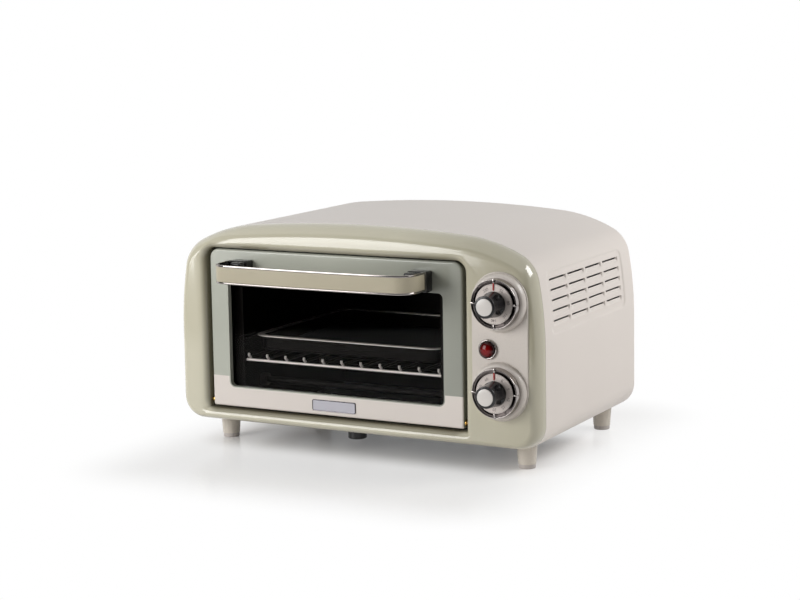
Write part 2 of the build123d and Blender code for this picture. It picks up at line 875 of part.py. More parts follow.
with BuildPart() as cavity_liner:
    with BuildSketch(front_plane(liner_front)):
        with Locations((door_centre, (floor_top + cavity_top + cavity_sheet) / 2)):
            Rectangle(cavity_width + 2 * cavity_sheet, cavity_top + cavity_sheet - floor_top)
    extrude(amount=-(cavity_rear + cavity_sheet - liner_front))
    with BuildSketch(front_plane(liner_front)):
        with Locations((door_centre, (floor_top + cavity_top) / 2)):
            Rectangle(cavity_width, cavity_top - floor_top)
    extrude(amount=-(cavity_rear - liner_front), mode=Mode.SUBTRACT)
    with BuildSketch(Plane.YZ.offset(door_centre - cavity_width)):
        for behind, height in heater_places.values():
            with Locations((face_y + behind, height)):
                Circle(bush_radius)
    extrude(amount=2 * cavity_width, mode=Mode.SUBTRACT)
write("cavity_liner", cavity_liner.part)

with BuildPart() as cavity_front_frame:
    with BuildSketch(front_plane(cavity_front)):
        add(door_outline(door_gap + bezel_wall + frame_lap))
        with Locations((door_centre, (floor_top + door_base) / 2)):
            Rectangle(door_width, door_base - floor_top)
        with Locations((door_centre, (mouth_base + mouth_top) / 2)):
            RectangleRounded(mouth_width, mouth_top - mouth_base, mouth_corner, mode=Mode.SUBTRACT)
    extrude(amount=-cavity_sheet)
write("cavity_front_frame", cavity_front_frame.part)

rack_ledge = rack_level - rack_rail_radius - running_gap
tray_ledge = tray_level - tray_sheet - running_gap
guide_start = cavity_front + guide_inset

for name, side in (("left", -1), ("right", 1)):
    wall_x = door_centre + side * cavity_width / 2
    with BuildPart() as shelf_guide:
        with BuildSketch(front_plane(guide_start)):
            with Locations((wall_x - side * guide_sheet / 2, (rack_ledge + tray_ledge) / 2)):
                Rectangle(guide_sheet, tray_ledge - rack_ledge + 2 * guide_sheet)
            for ledge in (rack_ledge, tray_ledge):
                with Locations((wall_x - side * guide_ledge / 2, ledge - guide_sheet / 2)):
                    Rectangle(guide_ledge, guide_sheet)
        extrude(amount=-(cavity_rear - guide_start - guide_inset))
    write(f"{name}_shelf_guide", shelf_guide.part)


# Heater rods with their pins, and the ceramic bushes that hold them in the liner
for name, (behind, height) in heater_places.items():
    with BuildPart() as heater:
        with BuildSketch(Plane.YZ.offset(door_centre - heater_length / 2)):
            with Locations((face_y + behind, height)):
                Circle(heater_radius)
        extrude(amount=heater_length)
        fillet(heater.edges(), heater_radius / 3)
        with BuildSketch(Plane.YZ.offset(door_centre - heater_length / 2 - heater_pin)):
            with Locations((face_y + behind, height)):
                Circle(heater_radius / 2)
        extrude(amount=heater_length + 2 * heater_pin)
    write(name, heater.part)

with BuildPart() as heater_bushes:
    for side in (-1, 1):
        middle = door_centre + side * (cavity_width + cavity_sheet) / 2
        for behind, height in heater_places.values():
            with BuildSketch(Plane.YZ.offset(middle - bush_length / 2)):
                with Locations((face_y + behind, height)):
                    Circle(bush_radius)
                    Circle(heater_radius, mode=Mode.SUBTRACT)
            extrude(amount=bush_length)
write("heater_bushes", heater_bushes.part)


# Wire rack: two cross rails under long wires whose front ends turn up
rack_back = rack_front + rack_depth
wire_height = rack_level + rack_rail_radius + rack_wire_radius
wire_bend = 2 * rack_wire_radius
first_wire = door_centre - rack_pitch * (rack_wires - 1) / 2
rail_half = rack_pitch * (rack_wires - 1) / 2 + rail_overhang

with BuildPart() as wire_rack:
    for behind in (rack_front, (rack_front + rack_back) / 2, rack_back):
        with BuildSketch(Plane.YZ.offset(door_centre - rail_half)):
            with Locations((face_y + behind, rack_level)):
                Circle(rack_rail_radius)
        extrude(amount=2 * rail_half)
    for wire in range(rack_wires):
        x = first_wire + wire * rack_pitch
        with BuildLine() as wire_path:
            tip = Line((x, face_y + rack_front - rack_rail_radius, wire_height + rack_wire_rise),
                       (x, face_y + rack_front - rack_rail_radius, wire_height + wire_bend))
            bend = Line(tip @ 1, (x, face_y + rack_front - rack_rail_radius + wire_bend, wire_height))
            Line(bend @ 1, (x, face_y + rack_back + rack_rail_radius, wire_height))
        with BuildSketch(Plane(origin=wire_path.line @ 0, z_dir=wire_path.line % 0)):
            Circle(rack_wire_radius + rack_weld)
        sweep(path=wire_path.line, transition=Transition.RIGHT)
write("wire_rack", wire_rack.part)


# Baking tray: pressed pan with an outward rim that slides on the upper ledges
tray_middle = face_y + tray_front + tray_depth / 2
tray_floor = tray_level - tray_wall_height

with BuildPart() as baking_tray:
    with BuildSketch(Plane.XY.offset(tray_floor)):
        with Locations((door_centre, tray_middle)):
            RectangleRounded(tray_width - 2 * tray_rim, tray_depth - 2 * tray_rim, tray_corner)
    extrude(amount=tray_wall_height)
    fillet(baking_tray.edges().group_by(Axis.Z)[0], 2 * tray_sheet)
    with BuildSketch(Plane.XY.offset(tray_level - tray_sheet)):
        with Locations((door_centre, tray_middle)):
            RectangleRounded(tray_width, tray_depth, tray_corner + tray_rim)
    extrude(amount=tray_sheet)
    with BuildSketch(Plane.XY.offset(tray_floor + tray_sheet)):
        with Locations((door_centre, tray_middle)):
            inner_rim = tray_rim + tray_sheet
            RectangleRounded(tray_width - 2 * inner_rim, tray_depth - 2 * inner_rim,
                             tray_corner - tray_sheet)
    extrude(amount=tray_wall_height, mode=Mode.SUBTRACT)
write("baking_tray", baking_tray.part)


# Control compartment: heat shield, terminal block and the gland in the rear panel
shield_x = door_right + shield_gap
shield_height = shield_top - floor_top
shield_start = liner_front + fit_gap
shield_length = plate_rear - shield_start - fit_gap

with BuildPart() as control_heat_shield:
    with BuildSketch(Plane.YZ.offset(shield_x)):
        with Locations((face_y + shield_start + shield_length / 2, floor_top + shield_height / 2)):
            Rectangle(shield_length, shield_height)
            with GridLocations(0, shield_height / 4, 1, 3):
                SlotOverall(shield_length / 2, shield_slot, mode=Mode.SUBTRACT)
    extrude(amount=cavity_sheet)
    with BuildSketch(Plane.XY.offset(floor_top)):
        with Locations((shield_x + shield_foot / 2, face_y + shield_start + shield_length / 2)):
            Rectangle(shield_foot, shield_length)
    extrude(amount=cavity_sheet)
write("control_heat_shield", control_heat_shield.part)

terminal_x = bay_centre + terminal_shift
terminal_behind = body_depth - terminal_inset

with BuildPart() as terminal_block:
    with BuildSketch(Plane.XY.offset(floor_top)):
        with Locations((terminal_x, face_y + terminal_behind)):
            Rectangle(terminal_width, terminal_length)
    extrude(amount=terminal_height)
    with BuildSketch(Plane.XY.offset(floor_top + terminal_height)):
        with Locations((terminal_x, face_y + terminal_behind)):
            with GridLocations(terminal_width / 2, terminal_length / 3, 2, 3):
                Circle(screw_radius)
    extrude(amount=-terminal_height / 2, mode=Mode.SUBTRACT)
write("terminal_block", terminal_block.part)


# Rear panel set into the casing, with vents, its gland and its screws
panel_front = rear_flange_front + sheet
gland_place = bay_centre + gland_shift, gland_height

with BuildPart() as rear_panel:
    with BuildSketch(front_plane(panel_front)):
        add(case_section(sheet + fit_gap))
        for x, z in rear_screws_at:
            with Locations((x, z), (-x, z)):
                Circle(screw_radius, mode=Mode.SUBTRACT)
        with Locations(gland_place):
            Circle(gland_radius, mode=Mode.SUBTRACT)
        with Locations((door_centre, vent_height)):
            with GridLocations(vent_pitch_x, vent_pitch_z, vent_columns, vent_rows):
                SlotOverall(vent_length, vent_width, mode=Mode.SUBTRACT)
    extrude(amount=-sheet)
write("rear_panel", rear_panel.part)

with BuildPart() as cord_gland:
    with BuildSketch(front_plane(panel_front - gland_lip)):
        with Locations(gland_place):
            Circle(gland_radius + gland_lip)
    extrude(amount=-(sheet + 2 * gland_lip))
    with BuildSketch(front_plane(panel_front)):
        with Locations(gland_place):
            Circle(gland_radius + 2 * gland_lip)
            Circle(gland_radius, mode=Mode.SUBTRACT)
    extrude(amount=-sheet, mode=Mode.SUBTRACT)
    with BuildSketch(front_plane(panel_front - gland_lip)):
        with Locations(gland_place):
            Circle(gland_bore)
    extrude(amount=-(sheet + 2 * gland_lip), mode=Mode.SUBTRACT)
write("cord_gland", cord_gland.part)

with BuildPart() as rear_screws:
    for x, z in rear_screws_at:
        for screw_x in (-x, x):
            with BuildSketch(front_plane(panel_front + sheet)):
                with Locations((screw_x, z)):
                    Circle(screw_head_radius)
            extrude(amount=-screw_head / 2)
            with BuildSketch(front_plane(panel_front + sheet)):
                with Locations((screw_x, z)):
                    Circle(screw_radius)
            extrude(amount=screw_length)
write("rear_screws", rear_screws.part)


# Legs, their soft pads and the screws that hold them to the casing
leg_places = [(x, y) for x in (leg_inset_x - half_width, half_width - leg_inset_x)
              for y in (face_y + leg_front, face_y + body_depth - leg_rear_inset)]

with BuildPart() as legs:
    for place in leg_places:
        with BuildSketch(Plane.XY.offset(pad_height)):
            with Locations(place):
                Circle(leg_foot_radius)
        with BuildSketch(Plane.XY.offset(leg_height)):
            with Locations(place):
                Circle(leg_top_radius)
        loft()
    with BuildSketch(Plane.XY.offset(leg_height)):
        with Locations(*leg_places):
            Circle(screw_radius)
    extrude(amount=-leg_screw_length, mode=Mode.SUBTRACT)
write("legs", legs.part)

with BuildPart() as leg_pads:
    with BuildSketch(Plane.XY):
        with Locations(*leg_places):
            Circle(leg_foot_radius - pad_inset)
    extrude(amount=pad_height)
    fillet(leg_pads.edges().group_by(Axis.Z)[0], sheet)
write("leg_pads", leg_pads.part)

with BuildPart() as leg_screws:
    with BuildSketch(Plane.XY.offset(leg_height + sheet)):
        with Locations(*leg_places):
            Circle(screw_head_radius)
    extrude(amount=screw_head)
    with BuildSketch(Plane.XY.offset(leg_height + sheet)):
        with Locations(*leg_places):
            Circle(screw_radius)
    extrude(amount=-(leg_screw_length + sheet))
write("leg_screws", leg_screws.part)


# Door: pressed surround, glass, inner liner, lower strip with its blank badge, hinge pins
door_low = door_base + strip_thickness
strip_top = window_base
roll_inner = strip_roll - strip_thickness


def strip_outline():
    """Face of the lower strip, whose two side tabs run up round the window's corners."""
    strip_height = strip_top + strip_tab - door_base
    with BuildSketch(mode=Mode.PRIVATE) as outline:
        with Locations((door_centre, door_base + strip_height / 2)):
            Rectangle(door_width, strip_height)
        add(window_outline(strip_rim), mode=Mode.SUBTRACT)
    return outline.sketch


handle_screw_reach = handle_span / 2 - handle_wall - screw_head_radius
handle_screw_places = [
    (door_centre + side * handle_screw_reach, handle_middle + offset)
    for side in (-1, 1)
    for offset in (-handle_height / 4, handle_height / 4)
]

with BuildPart() as door_form:
    with BuildSketch(front_plane(0)):
        add(door_outline())
    extrude(amount=-door_depth)
    front_edges = door_form.faces().sort_by(Axis.Y)[0].edges().sort_by(Axis.Z)
    fillet(front_edges[1:], door_edge_radius)
    fillet(door_form.edges().filter_by(Axis.X).group_by(Axis.Z)[0].sort_by(Axis.Y)[0], strip_roll)

with BuildPart() as strip_core:
    with BuildSketch(front_plane(strip_thickness)):
        add(door_outline(0, strip_thickness))
    extrude(amount=-door_depth)
    fillet(strip_core.edges().filter_by(Axis.X).group_by(Axis.Z)[0].sort_by(Axis.Y)[0], roll_inner)

with BuildPart() as door_bottom_strip:
    with BuildSketch(front_plane(0)):
        add(strip_outline())
    extrude(amount=-strip_depth)
    add(door_form.part, mode=Mode.INTERSECT)
    add(strip_core.part, mode=Mode.SUBTRACT)
write("door_bottom_strip", door_bottom_strip.part)

with BuildPart() as strip_backing:
    with BuildSketch(front_plane(0)):
        add(strip_outline())
    extrude(amount=-strip_depth)
    add(door_form.part, mode=Mode.INTERSECT)
    add(strip_core.part, mode=Mode.INTERSECT)

with BuildPart() as door_surround:
    add(door_form.part)
    with BuildSketch(front_plane(0)):
        add(strip_outline())
    extrude(amount=-strip_depth, mode=Mode.SUBTRACT)
    add(strip_backing.part)
    with BuildSketch(front_plane(strip_depth)):
        with Locations((door_centre, door_base)):
            Rectangle(2 * door_width, 2 * strip_roll)
    extrude(amount=-door_depth, mode=Mode.SUBTRACT)
    with BuildSketch(front_plane(door_skin + strip_thickness)):
        add(door_outline(-door_skin, strip_thickness))
    extrude(amount=-door_depth, mode=Mode.SUBTRACT)
    with BuildSketch(front_plane(door_skin)):
        with Locations((door_centre, (strip_top + strip_tab + door_base + door_height - door_skin) / 2)):
            Rectangle(window_width, door_base + door_height - door_skin - strip_top - strip_tab)
    extrude(amount=-2 * strip_thickness, mode=Mode.SUBTRACT)
    with BuildSketch(front_plane(0)):
        add(window_outline(door_skin))
    extrude(amount=-window_setback)
    with BuildSketch(front_plane(-sheet)):
        add(window_outline(0))
    extrude(amount=-2 * door_depth, mode=Mode.SUBTRACT)
    add(door_bottom_strip.part, mode=Mode.SUBTRACT)
    for side in (-1, 1):
        with BuildSketch(Plane.YZ.offset(door_centre + side * (door_width / 2 - door_skin))):
            with Locations(hinge_axis):
                Circle(hinge_boss_radius)
        extrude(amount=-side * (hinge_pin_depth - door_skin + fit_gap))
    with BuildSketch(Plane.YZ.offset(door_centre - door_width / 2 - sheet)):
        with Locations(hinge_axis):
            Circle(hinge_pin_radius + running_gap)
    extrude(amount=sheet + hinge_pin_depth + fit_gap, mode=Mode.SUBTRACT)
    with BuildSketch(Plane.YZ.offset(door_centre + door_width / 2 + sheet)):
        with Locations(hinge_axis):
            Circle(hinge_pin_radius + running_gap)
    extrude(amount=-(sheet + hinge_pin_depth + fit_gap), mode=Mode.SUBTRACT)
    with BuildSketch(front_plane(-sheet)):
        with Locations(*handle_screw_places):
            Circle(screw_radius)
    extrude(amount=-(3 * sheet + strip_thickness), mode=Mode.SUBTRACT)
write("door_surround", door_surround.part)

with BuildPart() as window_glass:
    with BuildSketch(front_plane(window_setback)):
        add(window_outline(glass_lap))
    extrude(amount=-glass_thickness)
write("window_glass", window_glass.part)

with BuildPart() as door_inner_liner:
    with BuildSketch(front_plane(door_depth - door_liner)):
        add(door_outline(-door_skin - fit_gap / 2, strip_thickness))
        add(window_outline(0), mode=Mode.SUBTRACT)
    extrude(amount=-door_liner)
write("door_inner_liner", door_inner_liner.part)

with BuildPart() as badge_plate:
    with BuildSketch(front_plane(0)):
        with Locations((door_centre, badge_base + badge_height / 2)):
            RectangleRounded(badge_width, badge_height, badge_corner)
    extrude(amount=badge_thickness)
    fillet(badge_plate.faces().sort_by(Axis.Y)[0].edges(), badge_thickness / 3)
write("badge_plate", badge_plate.part)

pin_reach = hinge_seat + hinge_pin_depth

with BuildPart() as door_hinge_pins:
    for start in (door_centre - door_width / 2 - hinge_seat,
                  door_centre + door_width / 2 - hinge_pin_depth):
        with BuildSketch(Plane.YZ.offset(start)):
            with Locations(hinge_axis):
                Circle(hinge_pin_radius)
        extrude(amount=pin_reach)
    for start in (door_centre - door_width / 2 - fit_gap - hinge_collar,
                  door_centre + door_width / 2 + fit_gap):
        with BuildSketch(Plane.YZ.offset(start)):
            with Locations(hinge_axis):
                Circle(hinge_collar_radius)
        extrude(amount=hinge_collar)
write("door_hinge_pins", door_hinge_pins.part)


# Handle: bowed channel with an inlaid band, on two spacer blocks
bow_turn = degrees(2 * atan2(handle_bow, handle_span / 2 - handle_bend))
flat_half = handle_span / 2 - handle_bend * (1 - sin(radians(bow_turn)))
bow_radius = flat_half / sin(radians(bow_turn))


def handle_plan(inset):
    """Area in plan between the spacers and the handle's outer face, set in by some thickness."""
    with BuildSketch(mode=Mode.PRIVATE) as plan:
        with BuildLine():
            front = (door_centre, face_y - handle_reach + inset)
            bow = JernArc(front, (1, 0), bow_radius - inset, bow_turn)
            bend = JernArc(bow @ 1, bow % 1, handle_bend - inset, 90 - bow_turn)
            arm = Line(bend @ 1, ((bend @ 1).X, face_y - spacer_depth))
            Line(arm @ 1, (door_centre, face_y - spacer_depth))
            mirror(about=Plane.YZ.offset(door_centre))
        make_face()
    return plan.sketch


handle_low = handle_middle - handle_height / 2
band_end = face_y - spacer_depth - handle_end


def handle_inlay_space():
    """Groove along the handle's outer face that the band fills."""
    with BuildPart() as space:
        with BuildSketch(Plane.XY.offset(handle_low + handle_edge)):
            add(handle_plan(0))
            add(handle_plan(handle_inlay), mode=Mode.SUBTRACT)
            with Locations((door_centre, band_end + handle_reach / 2)):
                Rectangle(2 * handle_span, handle_reach, mode=Mode.SUBTRACT)
        extrude(amount=handle_height - 2 * handle_edge)
    return space.part


with BuildPart() as handle_bar:
    with BuildSketch(Plane.XY.offset(handle_low)):
        add(handle_plan(0))
        add(handle_plan(handle_wall), mode=Mode.SUBTRACT)
        for side in (-1, 1):
            with Locations((door_centre + side * (handle_span - spacer_width) / 2,
                            face_y - spacer_depth - handle_wall / 2)):
                Rectangle(spacer_width - 2 * fit_gap, handle_wall)
    extrude(amount=handle_height)
    add(handle_inlay_space(), mode=Mode.SUBTRACT)
    with BuildSketch(front_plane(-spacer_depth)):
        with Locations(*handle_screw_places):
            Circle(screw_radius)
    extrude(amount=handle_wall, mode=Mode.SUBTRACT)
write("handle_bar", handle_bar.part)

with BuildPart() as handle_band:
    add(handle_inlay_space())
write("handle_band", handle_band.part)

for name, side in (("left", -1), ("right", 1)):
    with BuildPart() as spacer:
        with BuildSketch(front_plane(0)):
            with Locations((door_centre + side * (handle_span - spacer_width) / 2, handle_middle)):
                RectangleRounded(spacer_width, handle_height, spacer_corner)
            with Locations(*handle_screw_places):
                Circle(screw_radius, mode=Mode.SUBTRACT)
        extrude(amount=spacer_depth)
    write(f"{name}_handle_spacer", spacer.part)

with BuildPart() as handle_screws:
    with BuildSketch(front_plane(door_skin)):
        with Locations(*handle_screw_places):
            Circle(screw_head_radius)
    extrude(amount=-screw_head)
    with BuildSketch(front_plane(door_skin)):
        with Locations(*handle_screw_places):
            Circle(screw_radius)
    extrude(amount=door_skin + spacer_depth + handle_wall)
write("handle_screws", handle_screws.part)
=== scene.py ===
from math import atan2, cos, pi, radians, sin, tan

import bmesh
import bpy
from mathutils import Matrix, Vector


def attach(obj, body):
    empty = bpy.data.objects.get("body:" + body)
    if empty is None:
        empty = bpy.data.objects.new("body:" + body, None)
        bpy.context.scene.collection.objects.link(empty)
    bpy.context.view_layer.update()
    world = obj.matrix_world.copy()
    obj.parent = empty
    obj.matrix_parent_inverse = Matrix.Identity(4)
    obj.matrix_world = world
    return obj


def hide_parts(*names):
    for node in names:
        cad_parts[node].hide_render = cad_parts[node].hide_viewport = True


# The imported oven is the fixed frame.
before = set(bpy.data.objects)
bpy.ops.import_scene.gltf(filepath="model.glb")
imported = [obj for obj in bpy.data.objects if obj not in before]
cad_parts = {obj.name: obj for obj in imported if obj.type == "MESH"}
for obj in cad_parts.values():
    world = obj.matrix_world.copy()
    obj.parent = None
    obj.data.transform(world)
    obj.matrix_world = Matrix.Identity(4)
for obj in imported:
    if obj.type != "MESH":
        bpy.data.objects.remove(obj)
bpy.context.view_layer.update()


# Camera: a long lens a little above the oven and to the right of its front, turned and rolled
# as the photograph was taken.
def placed(name, data):
    """New object in the scene."""
    made = bpy.data.objects.new(name, data)
    bpy.context.scene.collection.objects.link(made)
    return made


def look_from(place, azimuth, elevation, roll):
    """World matrix of a camera at a place that looks back along angles in degrees."""
    azimuth, elevation, roll = radians(azimuth), radians(elevation), radians(roll)
    back = Vector((sin(azimuth) * cos(elevation), -cos(azimuth) * cos(elevation), sin(elevation)))
    right = Vector((cos(azimuth), sin(azimuth), 0))
    up = back.cross(right)
    side = right * cos(roll) + up * sin(roll)
    top = up * cos(roll) - right * sin(roll)
    rows = [(side[i], top[i], back[i], place[i]) for i in range(3)]
    return Matrix((*rows, (0, 0, 0, 1)))


camera = placed("camera", bpy.data.cameras.new("camera"))
camera.data.lens = 89.83
camera.data.sensor_width = 36
camera.data.clip_start = 0.05
camera.data.clip_end = 50
camera.matrix_world = look_from((0.86595, -1.6071, 0.4191), azimuth=28.211, elevation=8.918, roll=-0.907)
bpy.context.scene.camera = camera


# Table: a disc of white board under a gloss lacquer, on which the oven stands. It fades into the
# plain white surroundings in two steps away from the footprint, so that no horizon shows.
table_radius = 0.75
table_sides = 96
# For each step: half sizes of the patch that it spares, its width, and how much it fades.
table_fades = (((0.14, 0.05, 0), 0.05, 0.57), ((0.14, 0.18, 0), 0.1, 0.43))


def linear(code):
    """Linear colour of an sRGB hex code."""
    parts = [int(code[i : i + 2], 16) / 255 for i in (1, 3, 5)]
    return (*[p / 12.92 if p <= 0.04045 else ((p + 0.055) / 1.055) ** 2.4 for p in parts], 1.0)


def node(tree, kind, inputs=(), **settings):
    """Adds a node with its settings. Inputs are constants, or sockets to link from."""
    made = tree.nodes.new(kind)
    for key, value in settings.items():
        setattr(made, key, value)
    for key, value in dict(inputs).items():
        if isinstance(value, bpy.types.NodeSocket):
            tree.links.new(value, made.inputs[key])
        else:
            made.inputs[key].default_value = value
    return made


def blank(name):
    """Empty node material with its object coordinates, which are in metres."""
    made = bpy.data.materials.new(name)
    made.use_nodes = True
    made.node_tree.nodes.clear()
    return made, made.node_tree, node(made.node_tree, "ShaderNodeTexCoord").outputs["Object"]


def close(tree, surface):
    """Ends a material in its output."""
    node(tree, "ShaderNodeOutputMaterial", {"Surface": surface})


def seen_ray(tree):
    """Socket that is 1 for what the camera sees straight, mirrored in gloss or through glass."""
    path = node(tree, "ShaderNodeLightPath").outputs
    seen = path["Is Camera Ray"]
    for ray in ("Is Glossy Ray", "Is Transmission Ray"):
        seen = node(tree, "ShaderNodeMath", {0: seen, 1: path[ray]}, operation="MAXIMUM").outputs[0]
    return seen


def beyond_box(tree, place, half):
    """Socket with the distance of a point outside a box about the origin, from its half sizes."""
    far = place
    for operation, other in (("ABSOLUTE", (0, 0, 0)), ("SUBTRACT", half), ("MAXIMUM", (0, 0, 0))):
        far = node(tree, "ShaderNodeVectorMath", {0: far, 1: other}, operation=operation).outputs["Vector"]
    return node(tree, "ShaderNodeVectorMath", {0: far}, operation="LENGTH").outputs["Value"]


def white_lacquer():
    """Gloss lacquer on white board: a faint, slightly blurred image of the feet, and their shadow."""
    made, tree, place = blank("white_gloss_table")
    grain = node(tree, "ShaderNodeTexNoise", {"Vector": place, "Scale": 160.0, "Detail": 2.0})  # 6 mm
    gloss = node(tree, "ShaderNodeMapRange", {"Value": grain.outputs["Fac"], "To Min": 0.16, "To Max": 0.2})
    top = node(tree, "ShaderNodeBsdfPrincipled", {
        "Base Color": linear("#F4F2F0"), "Roughness": gloss.outputs["Result"], "Specular IOR Level": 0.25})
    fade = 0.0
    for spared, width, amount in table_fades:
        step = node(tree, "ShaderNodeMapRange", {
            "Value": beyond_box(tree, place, spared), "From Max": width, "To Max": amount},
            interpolation_type="SMOOTHSTEP")
        fade = node(tree, "ShaderNodeMath", {0: step.outputs["Result"], 1: fade}).outputs[0]
    share = node(tree, "ShaderNodeMath", {0: seen_ray(tree), 1: fade}, operation="MULTIPLY")
    white = node(tree, "ShaderNodeEmission", {"Color": (1, 1, 1, 1), "Strength": 1.0})
    both = node(tree, "ShaderNodeMixShader", {
        0: share.outputs[0], 1: top.outputs["BSDF"], 2: white.outputs["Emission"]})
    close(tree, both.outputs["Shader"])
    return made


floor_mesh = bpy.data.meshes.new("table")
bearings = [2 * pi * i / table_sides for i in range(table_sides)]
floor_mesh.from_pydata([(table_radius * cos(a), table_radius * sin(a), 0) for a in bearings], [],
                       [tuple(range(table_sides))])
floor_mesh.materials.append(white_lacquer())
floor = placed("table", floor_mesh)


# Surroundings: plain white to the camera, in gloss and through glass. As light on the oven they
# are dim in front and overhead, and brighter towards the rear.
world = bpy.data.worlds.new("studio")
bpy.context.scene.world = world
world.use_nodes = True
sky = world.node_tree
sky.nodes.clear()
way = node(sky, "ShaderNodeSeparateXYZ", {"Vector": node(sky, "ShaderNodeTexCoord").outputs["Generated"]})
level_round = node(sky, "ShaderNodeMapRange", {
    "Value": way.outputs["Y"], "From Min": -0.25, "From Max": 0.35, "To Min": 0.17, "To Max": 0.78})
level_lit = node(sky, "ShaderNodeMapRange", {
    "Value": way.outputs["Z"], "To Min": level_round.outputs["Result"], "To Max": 0.1})
level = node(sky, "ShaderNodeMapRange", {
    "Value": seen_ray(sky), "To Min": level_lit.outputs["Result"], "To Max": 1.0})
light = node(sky, "ShaderNodeBackground", {"Color": (1, 1, 1, 1), "Strength": level.outputs["Result"]})
node(sky, "ShaderNodeOutputWorld", {"Surface": light.outputs["Background"]})
bpy.context.scene.view_settings.view_transform = "Standard"


# Lamps: three large diffused boxes. The key stands to the right and behind, and the two in front
# are wide and far. The fill leaves no spot of its own in gloss.
def softbox(name, place, target, width, height, power):
    """Rectangular area light that faces a target, in metres and watts."""
    light = bpy.data.lights.new(name, "AREA")
    light.shape = "RECTANGLE"
    light.size = width
    light.size_y = height
    light.energy = power
    lamp = placed(name, light)
    lamp.location = place
    lamp.rotation_euler = (Vector(target) - Vector(place)).to_track_quat("-Z", "Y").to_euler()
    return lamp


softbox("key_right", (1.0, 0.35, 0.86), (0, 0, 0.1), width=0.55, height=0.5, power=8.4)
softbox("front_left", (-1.2, -1.85, 0.5), (0, 0, 0.4), width=0.9, height=1.15, power=21)
fill = softbox("front_fill", (-0.6, -1.1, 0.6), (0, 0, 0.1), width=0.7, height=0.5, power=5.6)
fill.visible_glossy = False


# Dark end of the studio: a bent wall of black felt behind the camera. Only gloss and metal show
# it, and it gives them something dark to mirror.
screen_radius = 4
screen_heights = (-2.0, 3.6)
screen_bearings = range(-84, 79, 6)


def finish(name, colour, second, rough, grain_mm, bump_mm=0.0, spread=0.05, cloud_mm=40.0,
           stretch=(1, 1, 1), **shader):
    """Material that wanders between two close colours over some centimetres, with a fine grain in
    its gloss and height. The grain of paint, plating and moulded skin is finer than a tenth of a
    millimetre, and is drawn several times coarser, so that it shows."""
    made, tree, place = blank(name)
    drawn = node(tree, "ShaderNodeMapping", {"Vector": place, "Scale": stretch}).outputs["Vector"]
    grain = node(tree, "ShaderNodeTexNoise", {"Vector": drawn, "Scale": 1000 / grain_mm, "Detail": 4.0})
    cloud = node(tree, "ShaderNodeTexNoise", {"Vector": drawn, "Scale": 1000 / cloud_mm, "Detail": 3.0})
    tint = node(tree, "ShaderNodeMix", {0: cloud.outputs["Fac"], 6: linear(colour), 7: linear(second)},
                data_type="RGBA")
    gloss = node(tree, "ShaderNodeMapRange", {
        "Value": grain.outputs["Fac"], "From Min": 0.3, "From Max": 0.7,
        "To Min": max(rough - spread, 0.02), "To Max": rough + spread})
    bsdf = node(tree, "ShaderNodeBsdfPrincipled", {
        "Base Color": tint.outputs[2], "Roughness": gloss.outputs["Result"], **shader})
    if bump_mm:
        bump = node(tree, "ShaderNodeBump", {
            "Height": grain.outputs["Fac"], "Strength": 0.6, "Distance": bump_mm / 1000})
        tree.links.new(bump.outputs["Normal"], bsdf.inputs["Normal"])
    close(tree, bsdf.outputs["BSDF"])
    return made


# Black felt: dull and nearly black, so chrome reads as metal and enamel gets its darker side.
felt = finish("dark_studio_felt", "#141414", "#0F0F0F", 0.9, 3.0)
screen_mesh = bpy.data.meshes.new("dark_screen")
count = len(screen_bearings)
screen_mesh.from_pydata(
    [(screen_radius * sin(radians(a)), -screen_radius * cos(radians(a)), z)
     for z in screen_heights for a in screen_bearings], [],
    [(i, i + 1, count + i + 1, count + i) for i in range(count - 1)])
screen_mesh.materials.append(felt)
screen = placed("dark_screen", screen_mesh)
for ray in ("camera", "diffuse", "transmission", "volume_scatter", "shadow"):
    setattr(screen, f"visible_{ray}", False)


# Rear panel and the door's lower strip: pressed steel under the same stove enamel as the casing.
# The panel is screwed on from behind, and the strip swings with the door.
def dress(material, *names):
    """Gives CAD nodes one material."""
    for name in names:
        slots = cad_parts[name].data.materials
        slots.clear()
        slots.append(material)


# Satin enamel on steel: a soft, wide sheen with a faint orange peel, and no clear mirror image.
casing_enamel = finish("satin_cream_enamel", "#DED6CF", "#DAD2CB", 0.36, 0.9, bump_mm=0.006, cloud_mm=90,
                       **{"Specular IOR Level": 0.22})
dress(casing_enamel, "rear_panel", "door_bottom_strip")


# Front bezel: one pillowed plastic moulding that closes the casing's front and frames the door.
# Its section is the casing's own chain of arcs, drawn in towards the front, and its opening rolls
# back round the door. Sizes are in millimetres, as (x, distance behind the door's face, z).
face_y = -0.08505
body_half, body_top, body_base = 183.25, 211.5, 22.8
crown_turn, crown_steps = 4.9, 14
side_arcs = ((146, 21.6, 16), (31, 53.0, 22), (330, 10.5, 6))  # radius, degrees and steps
flank_lean = 0.3
foot_radius, foot_steps = 22.0, 12
bezel_back, bezel_rise, bezel_wall = 12.7, 16.7, 1.6
pillow_top, pillow_side, pillow_base = 16, 9, 7
door_middle, opening_half = -19.05, 132.0
opening_low, opening_high = 36.5, 184.4
door_gap, door_corner = 1.1, 9
lip_front, lip_depth, lip_width, lip_extra = -4, 5.5, 6, 0.62
land_grow, land_back, collar_grow = 8.1, 2.6, 3.1
in_front, far_back = -12, 30  # where cutters start and end
dial_x, dials = 147.95, {"upper": 152.6, "lower": 75.5}
shaft_hole, lamp_hole = 3.3, 5.7
lamp_x, lamp_z = 137.15, 111.4
# The lip's shade, in metres: a box inside the opening, and how far from it the shade starts and
# is full.
shade_middle, shade_box = (-0.02055, 0, 0.11045), (0.1215, 9, 0.06495)
shade_start, shade_full, shade_share = 0.0165, 0.0101, 0.72


